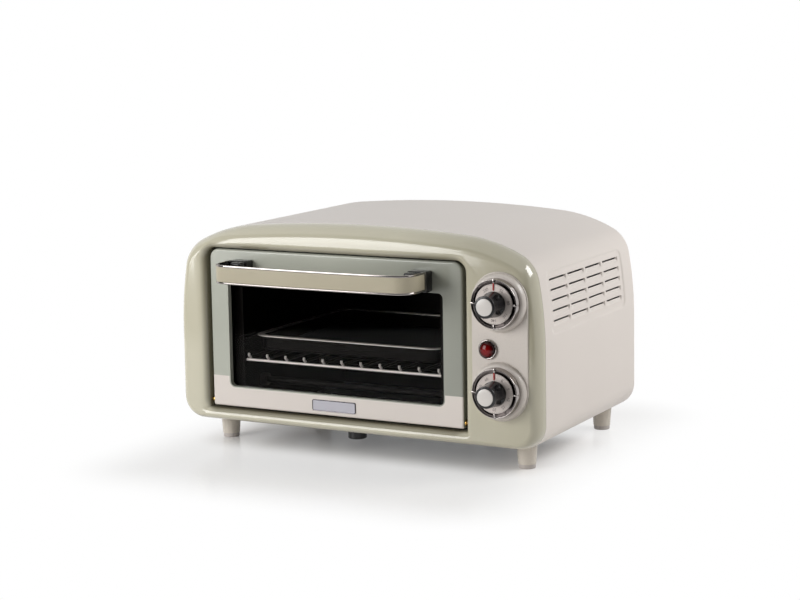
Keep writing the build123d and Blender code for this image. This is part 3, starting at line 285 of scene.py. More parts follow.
def at(x, behind, z):
    """Point of the model in metres from millimetres behind the door's face."""
    return Vector((x / 1000, face_y + behind / 1000, z / 1000))


def toward(material, share, code):
    """Turns a material's colour towards another one by the share that a socket gives."""
    tree = material.node_tree
    bsdf = next(n for n in tree.nodes if n.type == "BSDF_PRINCIPLED")
    own = bsdf.inputs["Base Color"].links[0].from_socket
    mix = node(tree, "ShaderNodeMix", {0: share, 6: own, 7: linear(code)}, data_type="RGBA")
    tree.links.new(mix.outputs[2], bsdf.inputs["Base Color"])


def shaded(material, axis, start, end, code):
    """Lets a colour turn into another one along an axis of the oven, from start to end in mm."""
    tree = material.node_tree
    place = node(tree, "ShaderNodeTexCoord").outputs["Object"]
    along = node(tree, "ShaderNodeSeparateXYZ", {"Vector": place}).outputs[axis]
    share = node(tree, "ShaderNodeMapRange", {
        "Value": along, "From Min": start / 1000, "From Max": end / 1000})
    toward(material, share.outputs["Result"], code)
    return material


def deepened(material, code):
    """Darkens a colour towards the gap round the door, where the lip rolls out of the light."""
    tree = material.node_tree
    place = node(tree, "ShaderNodeTexCoord").outputs["Object"]
    offset = node(tree, "ShaderNodeVectorMath", {0: place, 1: shade_middle}, operation="SUBTRACT")
    share = node(tree, "ShaderNodeMapRange", {
        "Value": beyond_box(tree, offset.outputs["Vector"], shade_box),
        "From Min": shade_start, "From Max": shade_full, "To Max": shade_share},
        interpolation_type="SMOOTHSTEP")
    toward(material, share.outputs["Result"], code)


def arc_points(start, heading, radius, turn, steps):
    """Points after the start along an arc that turns clockwise, in (x, z), with its last heading."""
    points = []
    centre = (start[0] + radius * sin(heading), start[1] - radius * cos(heading))
    for step in range(1, steps + 1):
        angle = heading - turn * step / steps
        points.append((centre[0] - radius * sin(angle), centre[1] + radius * cos(angle)))
    return points, heading - turn


def body_outline(wall=0.0, pillow=0.0):
    """Closed body section in (x, z), drawn in by a wall and a pillow."""
    side = body_half - wall - pillow * pillow_side / pillow_top
    lift = wall + pillow * pillow_base / pillow_top
    turns = [(radius - (wall + pillow), turn, steps) for radius, turn, steps in side_arcs]
    before = crown_turn
    reach = 0
    for radius, turn, _ in turns:
        reach += radius * (sin(radians(before + turn)) - sin(radians(before)))
        before += turn
    crown = (side - flank_lean - reach) / sin(radians(crown_turn))
    points = [(0.0, body_top - wall - pillow)]
    heading = 0.0
    for radius, turn, steps in [(crown, crown_turn, crown_steps), *turns]:
        made, heading = arc_points(points[-1], heading, radius, radians(turn), steps)
        points += made
    foot = foot_radius - lift
    base = body_base + lift
    lean = atan2(flank_lean, points[-1][1] - base)
    centre_x = side - foot * tan(lean) - foot / cos(lean)
    for step in range(foot_steps + 1):
        angle = lean - (pi / 2 + lean) * step / foot_steps
        points.append((centre_x + foot * cos(angle), base + foot + foot * sin(angle)))
    points.append((0.0, base))
    return points + [(-x, z) for x, z in reversed(points[1:-1])]


def door_loop(grow):
    """Closed outline of the door opening in (x, z), grown by some mm and wider on the left. Its
    lower corners are almost square and its upper ones round."""
    wide = grow + lip_extra * (grow - door_gap)
    left, right = door_middle - opening_half - wide, door_middle + opening_half + grow
    low, high = opening_low - grow, opening_high + grow
    corners = [(left, low, 0.6 + wide - door_gap, 0.6 + grow - door_gap, 180),
               (right, low, grow - 0.5, grow - 0.5, 270),
               (right, high, door_corner + grow, door_corner + grow, 0),
               (left, high, door_corner + wide, door_corner + grow, 90)]
    points = []
    for x, z, across, up, start in corners:
        for step in range(11):
            angle = radians(start + 9 * step)
            points.append((x + (across if x == left else -across) + across * cos(angle),
                           z + (up if z == low else -up) + up * sin(angle)))
    return points


def ring_skin(bm, rings, caps=True):
    """Joins closed rings of the same number of points with quads."""
    loops = [[bm.verts.new(point) for point in ring] for ring in rings]
    count = len(loops[0])
    for first, second in zip(loops, loops[1:]):
        for i in range(count):
            j = (i + 1) % count
            bm.faces.new((first[i], first[j], second[j], second[i]))
    if caps:
        bm.faces.new(loops[0])
        bm.faces.new(loops[-1])
    return loops


def pillow_block(wall, steps=26):
    """Closed bulged form, drawn in by a wall, from just inside the casing's edge to the flat front."""
    rise = bezel_rise - wall
    rings = [[at(x, bezel_back, z) for x, z in body_outline(wall + 0.35)]]
    for step in range(steps + 1):
        angle = radians(1.5 + 88.5 * step / steps)
        outline = body_outline(wall, pillow_top * (1 - cos(angle)))
        rings.append([at(x, bezel_back - rise * sin(angle), z) for x, z in outline])
    bm = bmesh.new()
    ring_skin(bm, rings)
    return bm


def prism(loop, front, back):
    """Closed straight form between two distances behind the door's face."""
    bm = bmesh.new()
    ring_skin(bm, [[at(x, behind, z) for x, z in loop] for behind in (front, back)])
    return bm


def mouth_form():
    """The door opening with its rolled lip, as the form that is cut away."""
    rings = [(in_front, door_gap + lip_width)]
    for step in range(15):
        angle = radians(90 * step / 14)
        rings.append((lip_front + lip_depth * (1 - cos(angle)), door_gap + lip_width * (1 - sin(angle))))
    rings.append((far_back, door_gap))
    bm = bmesh.new()
    ring_skin(bm, [[at(x, behind, z) for x, z in door_loop(grow)] for behind, grow in rings])
    return bm


def circle(x, z, radius, steps=36):
    """Closed round outline in (x, z)."""
    return [(x + radius * cos(2 * pi * i / steps), z + radius * sin(2 * pi * i / steps)) for i in range(steps)]


def settled(holder):
    """Plain mesh of an object with its modifiers applied. The object itself is taken away."""
    mesh = bpy.data.meshes.new_from_object(holder.evaluated_get(bpy.context.evaluated_depsgraph_get()))
    bpy.data.objects.remove(holder)
    return mesh


def carved(base, *cutters):
    """Takes closed meshes out of a closed mesh and returns the result."""
    forms = []
    for bm in (base, *cutters):
        bmesh.ops.recalc_face_normals(bm, faces=bm.faces)
        mesh = bpy.data.meshes.new("carving")
        bm.to_mesh(mesh)
        bm.free()
        forms.append(placed("carving", mesh))
    kept, *tools = forms
    for tool in tools:
        cut = kept.modifiers.new("cut", "BOOLEAN")
        cut.operation = "DIFFERENCE"
        cut.solver = "EXACT"
        cut.object = tool
    result = bmesh.new()
    result.from_mesh(settled(kept))
    for tool in tools:
        bpy.data.objects.remove(tool)
    return result


def finished(bm, name, body, material, *replaced, sharp=35, slot=None):
    """Turns a mesh into a named smooth piece that rides on a body and stands for CAD nodes."""
    bmesh.ops.remove_doubles(bm, verts=bm.verts, dist=1e-6)
    bmesh.ops.recalc_face_normals(bm, faces=bm.faces)
    mesh = bpy.data.meshes.new(name)
    bm.to_mesh(mesh)
    bm.free()
    for face in mesh.polygons:
        face.use_smooth = True
    mesh.set_sharp_from_angle(angle=radians(sharp))
    mesh.materials.append(material)
    piece = placed(name, mesh)
    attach(piece, body)
    if replaced:
        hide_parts(*replaced)
    return piece


# Glossy moulded plastic under a clear coat: narrow bright highlights that follow the pillow. Its
# colour turns darker to the right and olive in the lip, as the light on the real one does.
bezel_gloss = finish("glossy_sage_moulding", "#CCC7B2", "#C9C4AE", 0.13, 1.6, bump_mm=0.004, spread=0.02,
                     cloud_mm=120, **{"Coat Weight": 0.4, "Coat Roughness": 0.05})
shaded(bezel_gloss, "X", 50, 125, "#B7B29D")
deepened(bezel_gloss, "#574F34")

# The hollow keeps the moulding's wall, a broad land behind the lip and a collar round the opening.
hollow = carved(pillow_block(bezel_wall), prism(door_loop(land_grow), in_front, land_back),
                prism(door_loop(collar_grow), in_front, far_back))
holes = [prism(circle(*place), in_front, 0) for place in (
    (dial_x, dials["upper"], shaft_hole), (dial_x, dials["lower"], shaft_hole), (lamp_x, lamp_z, lamp_hole))]
finished(carved(pillow_block(0.0), hollow, mouth_form(), *holes), "bezel_moulding", "oven_body", bezel_gloss,
         "front_bezel", sharp=25, slot="bezel_enamel")


# Casing skin: one enamelled steel sheet, bent over both sides and the top and turned in at the
# rear. A louvre panel is pressed into each flank, with four columns of five tongues that were
# sheared and bent inwards, so that a slit stays open above each one.
sheet = 0.95
casing_back = 217.5
wrap_x = 138.25  # where the wrap ends under the oven
panel_front, panel_rear, panel_low, panel_high = 27.7, 196.3, 121.3, 175.5
panel_corner, border_out, border_width = 6.5, 0.6, 2.4
panel_zone = (118, 179)
flank_x = 100  # what lies further out than this is flank
row_tops = [169.0 - 8.95 * row for row in range(5)]
column_starts = [34.2 + 39.8 * column for column in range(4)]
tongue_length, tongue_height, tongue_press, tongue_end = 36.2, 5.4, 2.6, 1.1
slit_height = 2.0
right_rim = [p for p in body_outline() if p[0] >= 0 and (p[1] > 50 or p[0] > wrap_x)]
right_rim.sort(key=lambda p: atan2(p[0], p[1] - 110))


def flank_at(z):
    """Half width of the casing at a height on its flank."""
    for (x1, z1), (x2, z2) in zip(right_rim, right_rim[1:]):
        if x1 > flank_x and z2 <= z <= z1:
            return x1 + (x2 - x1) * (z1 - z) / (z1 - z2)
    return body_half


def eased(value):
    """Smooth step from 0 to 1."""
    value = min(max(value, 0.0), 1.0)
    return value * value * (3 - 2 * value)


def pressed_depth(behind, z):
    """How far the flank is pressed in by the louvre panel and its tongues."""
    along, across = min(behind - panel_front, panel_rear - behind), min(z - panel_low, panel_high - z)
    inside = min(along, across)
    if along < panel_corner and across < panel_corner:
        inside = panel_corner - ((panel_corner - along) ** 2 + (panel_corner - across) ** 2) ** 0.5
    depth = eased((inside + border_out) / border_width)
    for top in row_tops:
        for start in column_starts:
            end = min(behind - start, start + tongue_length - behind)
            if top - tongue_height <= z < top - 1e-4 and end > 0:
                depth += tongue_press * (z - top + tongue_height) / tongue_height * eased(end / tongue_end)
    return depth


def skin_point(side, behind, x, z):
    """Point of the sheet on one side, pressed in where the louvre panel lies."""
    pressed = pressed_depth(behind, z) if panel_zone[0] < z < panel_zone[1] and x > flank_x else 0
    return at(side * (x - pressed), behind, z)


def in_slit(behind, z):
    """Whether a place on the flank lies in an open slit."""
    return any(top - slit_height < z < top and start + tongue_end < behind < start + tongue_length - tongue_end
               for top in row_tops for start in column_starts)


# The sheet's grid: level lines down the rim, and stations from the bezel to the rear, both closer
# together at the panel's border and at the ends of the tongues.
heights = {panel_zone[0] + 0.75 * i for i in range(82)}
heights |= {top - drop for top in row_tops for drop in (0, slit_height, tongue_height)}
rim = [p for p in right_rim if p[1] > 179.2]
rim += [(flank_at(z), z) for z in sorted(heights, reverse=True)]
rim += [p for p in right_rim if p[1] < 117.8] + [(wrap_x, body_base)]
stations = {bezel_back, 20.0, 26.5, 199.0, 208.0, casing_back}
stations |= {27.3 + 0.4 * i for i in range(8)} | {196.7 - 0.4 * i for i in range(8)}
for start in column_starts:
    stations |= {start + way for way in (-0.6, 0, 0.3, 0.6, 1.1, 9.6, 18.1, 26.6, 35.1, 35.6, 35.9, 36.2, 36.8)}
stations = sorted(stations)
skin_bm = bmesh.new()
for side in (-1, 1):
    rows = [[skin_bm.verts.new(skin_point(side, behind, x, z)) for x, z in rim] for behind in stations]
    for i in range(len(stations) - 1):
        for j in range(len(rim) - 1):
            if rim[j][0] > flank_x and in_slit((stations[i] + stations[i + 1]) / 2, (rim[j][1] + rim[j + 1][1]) / 2):
                continue
            corners = (rows[i][j], rows[i][j + 1], rows[i + 1][j + 1], rows[i + 1][j])
            skin_bm.faces.new(corners if side < 0 else corners[::-1])
bmesh.ops.remove_doubles(skin_bm, verts=skin_bm.verts, dist=1e-6)
bmesh.ops.reverse_faces(skin_bm, faces=skin_bm.faces)  # they were laid facing inwards
skin_mesh = bpy.data.meshes.new("skin")
skin_bm.to_mesh(skin_mesh)
skin_bm.free()
skin_mesh.materials.append(casing_enamel)
skin_mesh.materials.append(casing_enamel)  # a second slot, which the inner face takes
holder = placed("skin", skin_mesh)
thick = holder.modifiers.new("sheet", "SOLIDIFY")
thick.thickness = sheet / 1000
thick.offset = -1
thick.material_offset = 1
shell = bmesh.new()
shell.from_mesh(settled(holder))
# The edge turned in at the rear, which the rear panel is screwed to.
flange = [[at(x, behind, z) for x, z in body_outline(wall)]
          for behind, wall in ((213.5, 0.5), (213.5, 9.0), (214.5, 9.0), (214.5, 0.5))]
ring_skin(shell, flange, caps=False)
# Matt near-black colour on the inner face, which is painted shade: the open slits and the space behind them read
# black.
inner_shade = finish("dark_inner_primer", "#2A2826", "#201E1C", 0.8, 0.6)
casing = finished(shell, "casing_skin", "oven_body", casing_enamel, "casing_wrap", sharp=30, slot="casing_enamel")
casing.data.materials.append(inner_shade)


# Control plate and its two dial bosses: pressed steel. The bosses flare off the plate to the
# seats of the dial rings.
def lathe(x, z, outline, segments=96):
    """Closed form turned about a fore-and-aft axis from an outline of (radius, behind)."""
    rings = []
    for step in range(segments):
        angle = 2 * pi * step / segments
        rings.append([at(x + r * cos(angle), behind, z + r * sin(angle)) for r, behind in outline])
    bm = bmesh.new()
    loops = ring_skin(bm, rings, caps=False)
    count = len(outline)
    for i in range(count):
        j = (i + 1) % count
        bm.faces.new((loops[-1][i], loops[-1][j], loops[0][j], loops[0][i]))
    bmesh.ops.remove_doubles(bm, verts=bm.verts, dist=1e-7)
    return bm


# Satin paint on steel: a little tighter in its sheen than the enamel, so the flare of a boss
# shows as one soft bright band.
panel_paint = finish("satin_panel_paint", "#D0C8C0", "#CCC4BC", 0.3, 0.8, bump_mm=0.005, cloud_mm=60)
dress(panel_paint, "control_plate")
plate_front, boss_front, boss_bore = -5.2, -11.0, 20.6
boss_rim, flare_width, flare_rise = 22.4, 3.2, 5.8
flare = [(boss_rim + flare_width * cos(radians(a)), plate_front - flare_rise * sin(radians(a)))
         for a in range(0, 91, 5)]
for place, z in dials.items():
    boss = lathe(dial_x, z, [(boss_bore, plate_front), *flare, (boss_bore, boss_front)])
    finished(boss, f"{place}_boss", "oven_body", panel_paint, f"{place}_dial_boss", slot="panel_paint")


# Dial rings: thin-rimmed cups of chromed steel on the bosses, each with four bright pointers that
# bridge the well and turn down over the rim.
pointer_width = 1.5
pointer_bars = ((19.7, -16.45, 4.3, 1.1), (21.7, -15.3, 0.7, 3.0))  # radius, behind, length and depth


def rounded(centre, radius, start, turn, steps=6):
    """Points of a small round edge about a centre of (radius, behind)."""
    return [(centre[0] + radius * cos(radians(start + turn * i / steps)),
             centre[1] + radius * sin(radians(start + turn * i / steps))) for i in range(steps + 1)]


def block(bm, centre, size, edge, spin=0.0):
    """Adds a box with rounded edges, turned clockwise about a fore-and-aft axis."""
    made = bmesh.ops.create_cube(bm, size=1.0)["verts"]
    form = Matrix.Translation(at(*centre)) @ Matrix.Rotation(spin, 4, "Y") @ Matrix.Diagonal(
        (size[0] / 1000, size[1] / 1000, size[2] / 1000, 1))
    bmesh.ops.transform(bm, matrix=form, verts=made)
    edges = list(dict.fromkeys(e for v in made for e in v.link_edges))
    bmesh.ops.bevel(bm, geom=edges, offset=edge / 1000, segments=3, profile=0.5, affect="EDGES")


# Bright chrome plating: it mirrors the studio almost sharply, with a faint haze from wiping. The
# grey is matched to the object and lies under the usual one.
chrome = finish("polished_chrome", "#ABA5A2", "#9E9895", 0.1, 1.0, spread=0.03, Metallic=1.0)
ring_outline = [(22.0, boss_front), (21.45, -16.3), *rounded((21.0, -16.5), 0.4, -10, -160), (20.6, boss_front)]
for place, z in dials.items():
    ring = lathe(dial_x, z, ring_outline)
    for quarter in range(4):
        angle = radians(90 * quarter)
        for radius, behind, length, depth in pointer_bars:
            block(ring, (dial_x + radius * sin(angle), behind, z + radius * cos(angle)),
                  (pointer_width, depth, length), 0.25, angle)
    finished(ring, f"{place}_ring", "oven_body", chrome, f"{place}_dial_ring", slot="bright_chrome")


# Dial wells and cursors: the sunk floor between a ring and its knob, and the red wedge that is
# fixed in it for reading the scale.

# Chrome plating in the ring's shade: darker and duller, so that the well reads as a groove.
well_chrome = finish("shaded_well_chrome", "#7A7270", "#6C6563", 0.2, 0.8, Metallic=1.0)
dress(well_chrome, "upper_dial_well", "lower_dial_well")
# Moulded red plastic: one strong spot of colour with a soft highlight.
red = finish("red_cursor_plastic", "#B01410", "#A0100C", 0.25, 0.6)
dress(red, "dial_cursors")


# Dial plates: stamped discs that turn with the knobs, printed with plain numbers and a ring of
# scale marks.
print_front = -16.43
figure_size, figure_radius = 3.6, 13.8
figure_gap = 32  # degrees from the top to the first figure, and from the last one to the top
mark_radius, mark_count = 16.55, 60
mark_size = (0.8, 0.18, 0.02)  # length, width and thickness of the ink
# Silver lacquer on metal: half paint and half mirror, so its sheen changes gently round the disc.
dial_metal = finish("satin_dial_lacquer", "#C9C0BA", "#B8AEA8", 0.32, 0.25, bump_mm=0.004, Metallic=0.5)
dress(dial_metal, "thermostat_dial_plate", "timer_dial_plate")
# Screen-printed ink: dull, dark brown lines that stay dark where the lacquer shines.
ink = finish("printed_dark_ink", "#3A302B", "#2E2622", 0.5, 0.15)


def new_tree(name, **inputs):
    """Geometry node tree with a geometry output and named inputs, and the sockets of those."""
    tree = bpy.data.node_groups.new(name, "GeometryNodeTree")
    tree.interface.new_socket("Geometry", in_out="OUTPUT", socket_type="NodeSocketGeometry")
    for label, kind in inputs.items():
        tree.interface.new_socket(label, in_out="INPUT", socket_type=f"NodeSocket{kind}")
    return tree, node(tree, "NodeGroupInput").outputs


def ended(tree, spread, material):
    """Ends a tree: its instances are made real and given a material."""
    real = node(tree, "GeometryNodeRealizeInstances", {"Geometry": spread.outputs["Instances"]})
    coated = node(tree, "GeometryNodeSetMaterial", {"Geometry": real.outputs["Geometry"], "Material": material})
    node(tree, "NodeGroupOutput", {"Geometry": coated.outputs["Geometry"]})
    return tree


def scale_marks():
    """Geometry nodes that set small bars on a circle, each pointing at its centre."""
    tree, given = new_tree("scale_marks", Count="Int", Radius="Float", Mark="Vector", Material="Material")
    ring = node(tree, "GeometryNodeMeshCircle", {"Vertices": given["Count"], "Radius": given["Radius"]})
    mark = node(tree, "GeometryNodeMeshCube", {"Size": given["Mark"]})
    place = node(tree, "GeometryNodeInputPosition")
    aim = node(tree, "FunctionNodeAlignRotationToVector", {"Vector": place.outputs["Position"]}, axis="X")
    spread = node(tree, "GeometryNodeInstanceOnPoints", {
        "Points": ring.outputs["Mesh"], "Instance": mark.outputs["Mesh"], "Rotation": aim.outputs["Rotation"]})
    return ended(tree, spread, given["Material"])


def grown(tree, start, **inputs):
    """Runs a geometry node tree with named inputs on a start mesh and returns the result."""
    holder = placed(start.name, start)
    made = holder.modifiers.new("nodes", "NODES")
    made.node_group = tree
    for socket in tree.interface.items_tree:
        if socket.in_out == "INPUT" and socket.name in inputs:
            made[socket.identifier] = inputs[socket.name]
    return settled(holder)


marks_tree = scale_marks()
upright = Matrix.Rotation(pi / 2, 4, "X")


def printed(name, body, z, labels):
    """Flat print on a dial plate: figures at even steps round the knob, and the scale marks."""
    print_bm = bmesh.new()
    face = Matrix.Translation(at(dial_x, print_front, z))
    for place, label in enumerate(labels):
        turn = radians(figure_gap + (360 - 2 * figure_gap) * place / (len(labels) - 1))
        words = bpy.data.curves.new("figure", "FONT")
        words.body = label
        words.size = figure_size / 1000
        words.align_x = "CENTER"
        words.align_y = "CENTER"
        words.resolution_u = 3
        mesh = settled(placed("figure", words))
        outwards = Matrix.Translation((0, 0, figure_radius / 1000))
        mesh.transform(face @ Matrix.Rotation(turn, 4, "Y") @ outwards @ upright)
        print_bm.from_mesh(mesh)
    marks = grown(marks_tree, bpy.data.meshes.new("marks"), Count=mark_count, Radius=mark_radius / 1000,
                  Mark=[size / 1000 for size in mark_size], Material=ink)
    marks.transform(face @ upright)
    print_bm.from_mesh(marks)
    finished(print_bm, name, body, ink)


printed("thermostat_figures", "thermostat_knob", dials["upper"], ["50", "80", "110", "140", "170", "200", "230"])
printed("timer_figures", "timer_knob", dials["lower"], ["0", "5", "10", "15", "20", "30", "40", "50", "60"])


# Knobs: moulded tapered grips above a round skirt, pushed on flatted shafts, with five leaf-shaped
# scoops for the fingers and a pale domed cap pressed into each front.
grip_outline = [(0.0, -10.5), (6.9, -10.5), (6.9, -16.42), (10.9, -16.42), (11.1, -16.6), (11.1, -17.4),
                (11.0, -17.6), (9.6, -33.9), *rounded((8.9, -34.1), 0.75, 0, -90), (7.75, -34.9), (7.55, -34.7),
                (7.55, -34.2), (0.0, -34.2)]
cap_outline = [(0.0, -34.2), (7.45, -34.2), (7.45, -34.95), *rounded((7.15, -34.95), 0.3, 0, -80),
               (4.5, -35.42), (0.0, -35.5)]
scoop_outline = [(0.0, -17.9), (2.0, -18.3), (3.1, -20.0), (3.5, -22.5), (3.2, -25.5), (2.5, -28.5),
                 (1.6, -31.2), (0.6, -33.0), (0.0, -33.3)]
scoop_count, scoop_reach = 5, 11.5


def knob_form(z):
    """Grip turned from its outline, with the scoops carved out."""
    cutters = []
    for scoop in range(scoop_count):
        angle = radians(45 + 360 / scoop_count * scoop)
        cutters.append(lathe(dial_x + scoop_reach * cos(angle), z + scoop_reach * sin(angle), scoop_outline, 32))
    return carved(lathe(dial_x, z, grip_outline), *cutters)


# Moulded black plastic with a fine satin skin: deep black, with one clear highlight down each rib.
black = finish("satin_black_plastic", "#161517", "#1B1A1C", 0.2, 0.35, spread=0.02)
# Polished cream plastic: warm and pale, with a small bright spot on the dome.
cap_cream = finish("gloss_cream_cap", "#D9D4CF", "#D3CEC9", 0.22, 0.7, bump_mm=0.004)
for name, z in zip(("thermostat", "timer"), dials.values()):
    finished(knob_form(z), f"{name}_grip", f"{name}_knob", black, f"{name}_knob", sharp=28, slot="black_plastic")
    finished(lathe(dial_x, z, cap_outline), f"{name}_cap", f"{name}_knob", cap_cream, f"{name}_knob_cap",
             slot="cream_plastic")


# Pilot lamp: a domed lens of dark red plastic with a stem, pushed through the bezel and held by a
# bright rolled ring.
lens_radius, lens_rise, lens_seat = 7.0, 3.6, -5.2
# The lens's painted light is centred here, in front of the bulb.
bulb = (0.13715, -0.0965, 0.1107)  # the middle of the lighter red, in metres

# Clear red polystyrene, drawn as a solid colour with painted light and shade: brighter red in the middle, over where
# the bulb lies behind, and almost black towards the rim, with an uneven border from waves of about 3 mm.
lens_red, tree, place = blank("dark_red_lens")
waves = node(tree, "ShaderNodeTexNoise", {"Vector": place, "Scale": 300.0})
centre = node(tree, "ShaderNodeVectorMath", {0: place, 1: bulb}, operation="DISTANCE")
ragged = node(tree, "ShaderNodeMath", {0: waves.outputs["Fac"], 1: 0.002, 2: centre.outputs["Value"]},
              operation="MULTIPLY_ADD")
depth = node(tree, "ShaderNodeMapRange", {"Value": ragged.outputs[0], "From Min": 0.003, "From Max": 0.008})
deep = node(tree, "ShaderNodeMix", {0: depth.outputs["Result"], 6: linear("#7C0407"), 7: linear("#2E0304")},
            data_type="RGBA")
lens = node(tree, "ShaderNodeBsdfPrincipled", {
    "Base Color": deep.outputs[2], "Roughness": 0.12, "Specular IOR Level": 0.3})
close(tree, lens.outputs["BSDF"])
dome = [(lens_radius * cos(radians(a)), -7.4 - lens_rise * sin(radians(a))) for a in range(0, 91, 6)]
stem = [(0.0, 4.0), (5.4, 4.0), (5.4, lens_seat), (lens_radius, lens_seat)]
finished(lathe(lamp_x, lamp_z, [*stem, *dome]), "lamp_dome", "oven_body", lens_red, "lamp_lens",
         slot="red_plastic")
collar = [(7.08, lens_seat), (8.7, lens_seat), (8.65, -5.9), *rounded((7.88, -6.7), 0.75, 0, -180, 10), (7.08, -6.4)]
finished(lathe(lamp_x, lamp_z, collar), "lamp_ring", "oven_body", chrome, "lamp_bezel", slot="bright_chrome")


# Door surround and window: a painted steel frame, hinged at its foot, with a pane of tinted
# tempered glass clamped in from behind.

# Paint under a thin clear coat: grey-green with a clear but weak mirror image. It turns darker to
# the right, as the light on the real one does.
door_paint = finish("grey_green_door_paint", "#B2B4A8", "#ABADA1", 0.2, 0.7, bump_mm=0.004, cloud_mm=80,
                    **{"Coat Weight": 0.3, "Coat Roughness": 0.08})
dress(shaded(door_paint, "X", -20, 260, "#5E5F57"), "door_surround")

# Tempered glass: seen straight it lets the dark cavity through, and towards the edge of sight it
# mirrors a little, with a slight haze some 30 mm wide.
glass, tree, place = blank("smoked_window_glass")
haze = node(tree, "ShaderNodeTexNoise", {"Vector": place, "Scale": 30.0})
polish = node(tree, "ShaderNodeMapRange", {"Value": haze.outputs["Fac"], "To Min": 0.02, "To Max": 0.05})
clear = node(tree, "ShaderNodeBsdfTransparent", {"Color": linear("#F0EEEC")})
shine = node(tree, "ShaderNodeBsdfGlossy", {"Color": (1, 1, 1, 1), "Roughness": polish.outputs["Result"]})
glance = node(tree, "ShaderNodeLayerWeight", {"Blend": 0.25})
share = node(tree, "ShaderNodeMapRange", {"Value": glance.outputs["Fresnel"], "To Min": 0.0, "To Max": 0.16})
pane = node(tree, "ShaderNodeMixShader", {
    0: share.outputs["Result"], 1: clear.outputs["BSDF"], 2: shine.outputs["BSDF"]})
close(tree, pane.outputs["Shader"])
dress(glass, "window_glass")


# Badge: a small bare metal plate, fixed on the door's strip, with a raised rim round a satin field. The rim is
# painted darker as shade.
badge_x, badge_z = -19.6, 46.85
badge_half_x, badge_half_z, badge_corner = 22.5, 5.2, 1.5
rim_steps = ((0, 0), (0, -0.5), (-0.15, -0.8), (-0.4, -0.9), (-0.75, -0.8), (-0.9, -0.5), (-0.9, 0))


def badge_ring(grow, behind):
    """Rounded outline of the badge, grown by some millimetres."""
    half_x, half_z, radius = badge_half_x + grow, badge_half_z + grow, max(badge_corner + grow, 0.3)
    points = []
    for quarter, (sx, sz) in enumerate(((1, 1), (-1, 1), (-1, -1), (1, -1))):
        for step in range(7):
            angle = radians(90 * quarter + 15 * step)
            points.append(at(badge_x + sx * (half_x - radius) + radius * cos(angle), behind,
                             badge_z + sz * (half_z - radius) + radius * sin(angle)))
    return points


# Metal painted darker as shade: a thin dark line round the plate that still glints on its crest.
dark_rim = finish("darkened_badge_rim", "#6A686C", "#565458", 0.2, 0.3, Metallic=0.9)
rim_bm = bmesh.new()
ring_skin(rim_bm, [badge_ring(grow, behind) for grow, behind in rim_steps], caps=False)
finished(rim_bm, "badge_rim", "door", dark_rim, "badge_plate", slot="badge_metal")
# Metal brushed along its length and lacquered: a soft grey sheen, drawn out sideways.
field_metal = finish("satin_badge_metal", "#B0AEB5", "#9E9CA3", 0.34, 0.3, stretch=(0.1, 1, 1), Metallic=0.5)
field_bm = bmesh.new()
ring_skin(field_bm, [badge_ring(-0.85, behind) for behind in (0, -0.5)])
finished(field_bm, "badge_field", "door", field_metal, slot="badge_metal")


# Handle: a bowed channel of chromed steel with rounded edges, screwed through two black plastic
# spacers on the door, and a lacquered band laid into its face.
handle_z, handle_half, handle_front = 167.9, 101.0, -47.4
bend_radius = 16.8
bow_depth, bow_reach = 2.4, 84.2
channel_end, foot_end = -15.2, -12.45
foot_x, foot_size = 91.5, (18.4, 2.1, 7.0)
leg_start, band_end = -24.0, -15.3
# The two blocks of a spacer: how far from the door's middle, behind, z and size. The second one
# reaches into the handle's bend.
spacer_blocks = ((foot_x, -6.2, 166.85, (19.0, 12.38, 18.5)), (88.6, -16.6, 167.3, (11.0, 9.0, 16.4)))


def handle_stations(last):
    """Stations along the handle in plan, as (x, behind, heading), from the left end to the right."""
    lean = 2 * atan2(bow_depth, bow_reach)
    bow = (handle_half - bend_radius * (1 - sin(lean))) / sin(lean)
    half = [(bow * sin(lean * i / 12), handle_front + bow * (1 - cos(lean * i / 12)), lean * i / 12)
            for i in range(13)]
    centre = (half[-1][0] - bend_radius * sin(lean), half[-1][1] + bend_radius * cos(lean))
    for i in range(1, 19):
        angle = lean + (pi / 2 - lean) * i / 18
        half.append((centre[0] + bend_radius * sin(angle), centre[1] - bend_radius * cos(angle), angle))
    half += [(handle_half, behind, pi / 2) for behind in (leg_start, last)]
    return [(-x, behind, -angle) for x, behind, angle in reversed(half[1:])] + half


def swept(bm, stations, profile):
    """Adds a form swept along stations from a closed profile of (depth behind the outer face, z)."""
    ring_skin(bm, [[at(door_middle + x - depth * sin(angle), behind + depth * cos(angle), handle_z + z)
                    for depth, z in profile] for x, behind, angle in stations])


upper = [(0.8, 6.75), (0.28, 6.78), (0.05, 7.05), (0.0, 7.3), (0.0, 7.9), (0.12, 8.25), (0.45, 8.45),
         (1.9, 8.45), (2.2, 8.15)]
channel = upper + [(depth, -z) for depth, z in reversed(upper)]
solid_end = [(0.05, 6.75), (0.05, 6.78)] + upper[2:]
solid_end += [(depth, -z) for depth, z in reversed(solid_end)]
bar_bm = bmesh.new()
swept(bar_bm, handle_stations(channel_end), channel)
for side in (-1, 1):
    swept(bar_bm, [(handle_half * side, behind, side * pi / 2) for behind in (channel_end, foot_end)], solid_end)
    block(bar_bm, (door_middle + side * foot_x, -13.5, handle_z), foot_size, 0.5)
finished(bar_bm, "handle_channel", "door", chrome, "handle_bar", slot="bright_chrome")

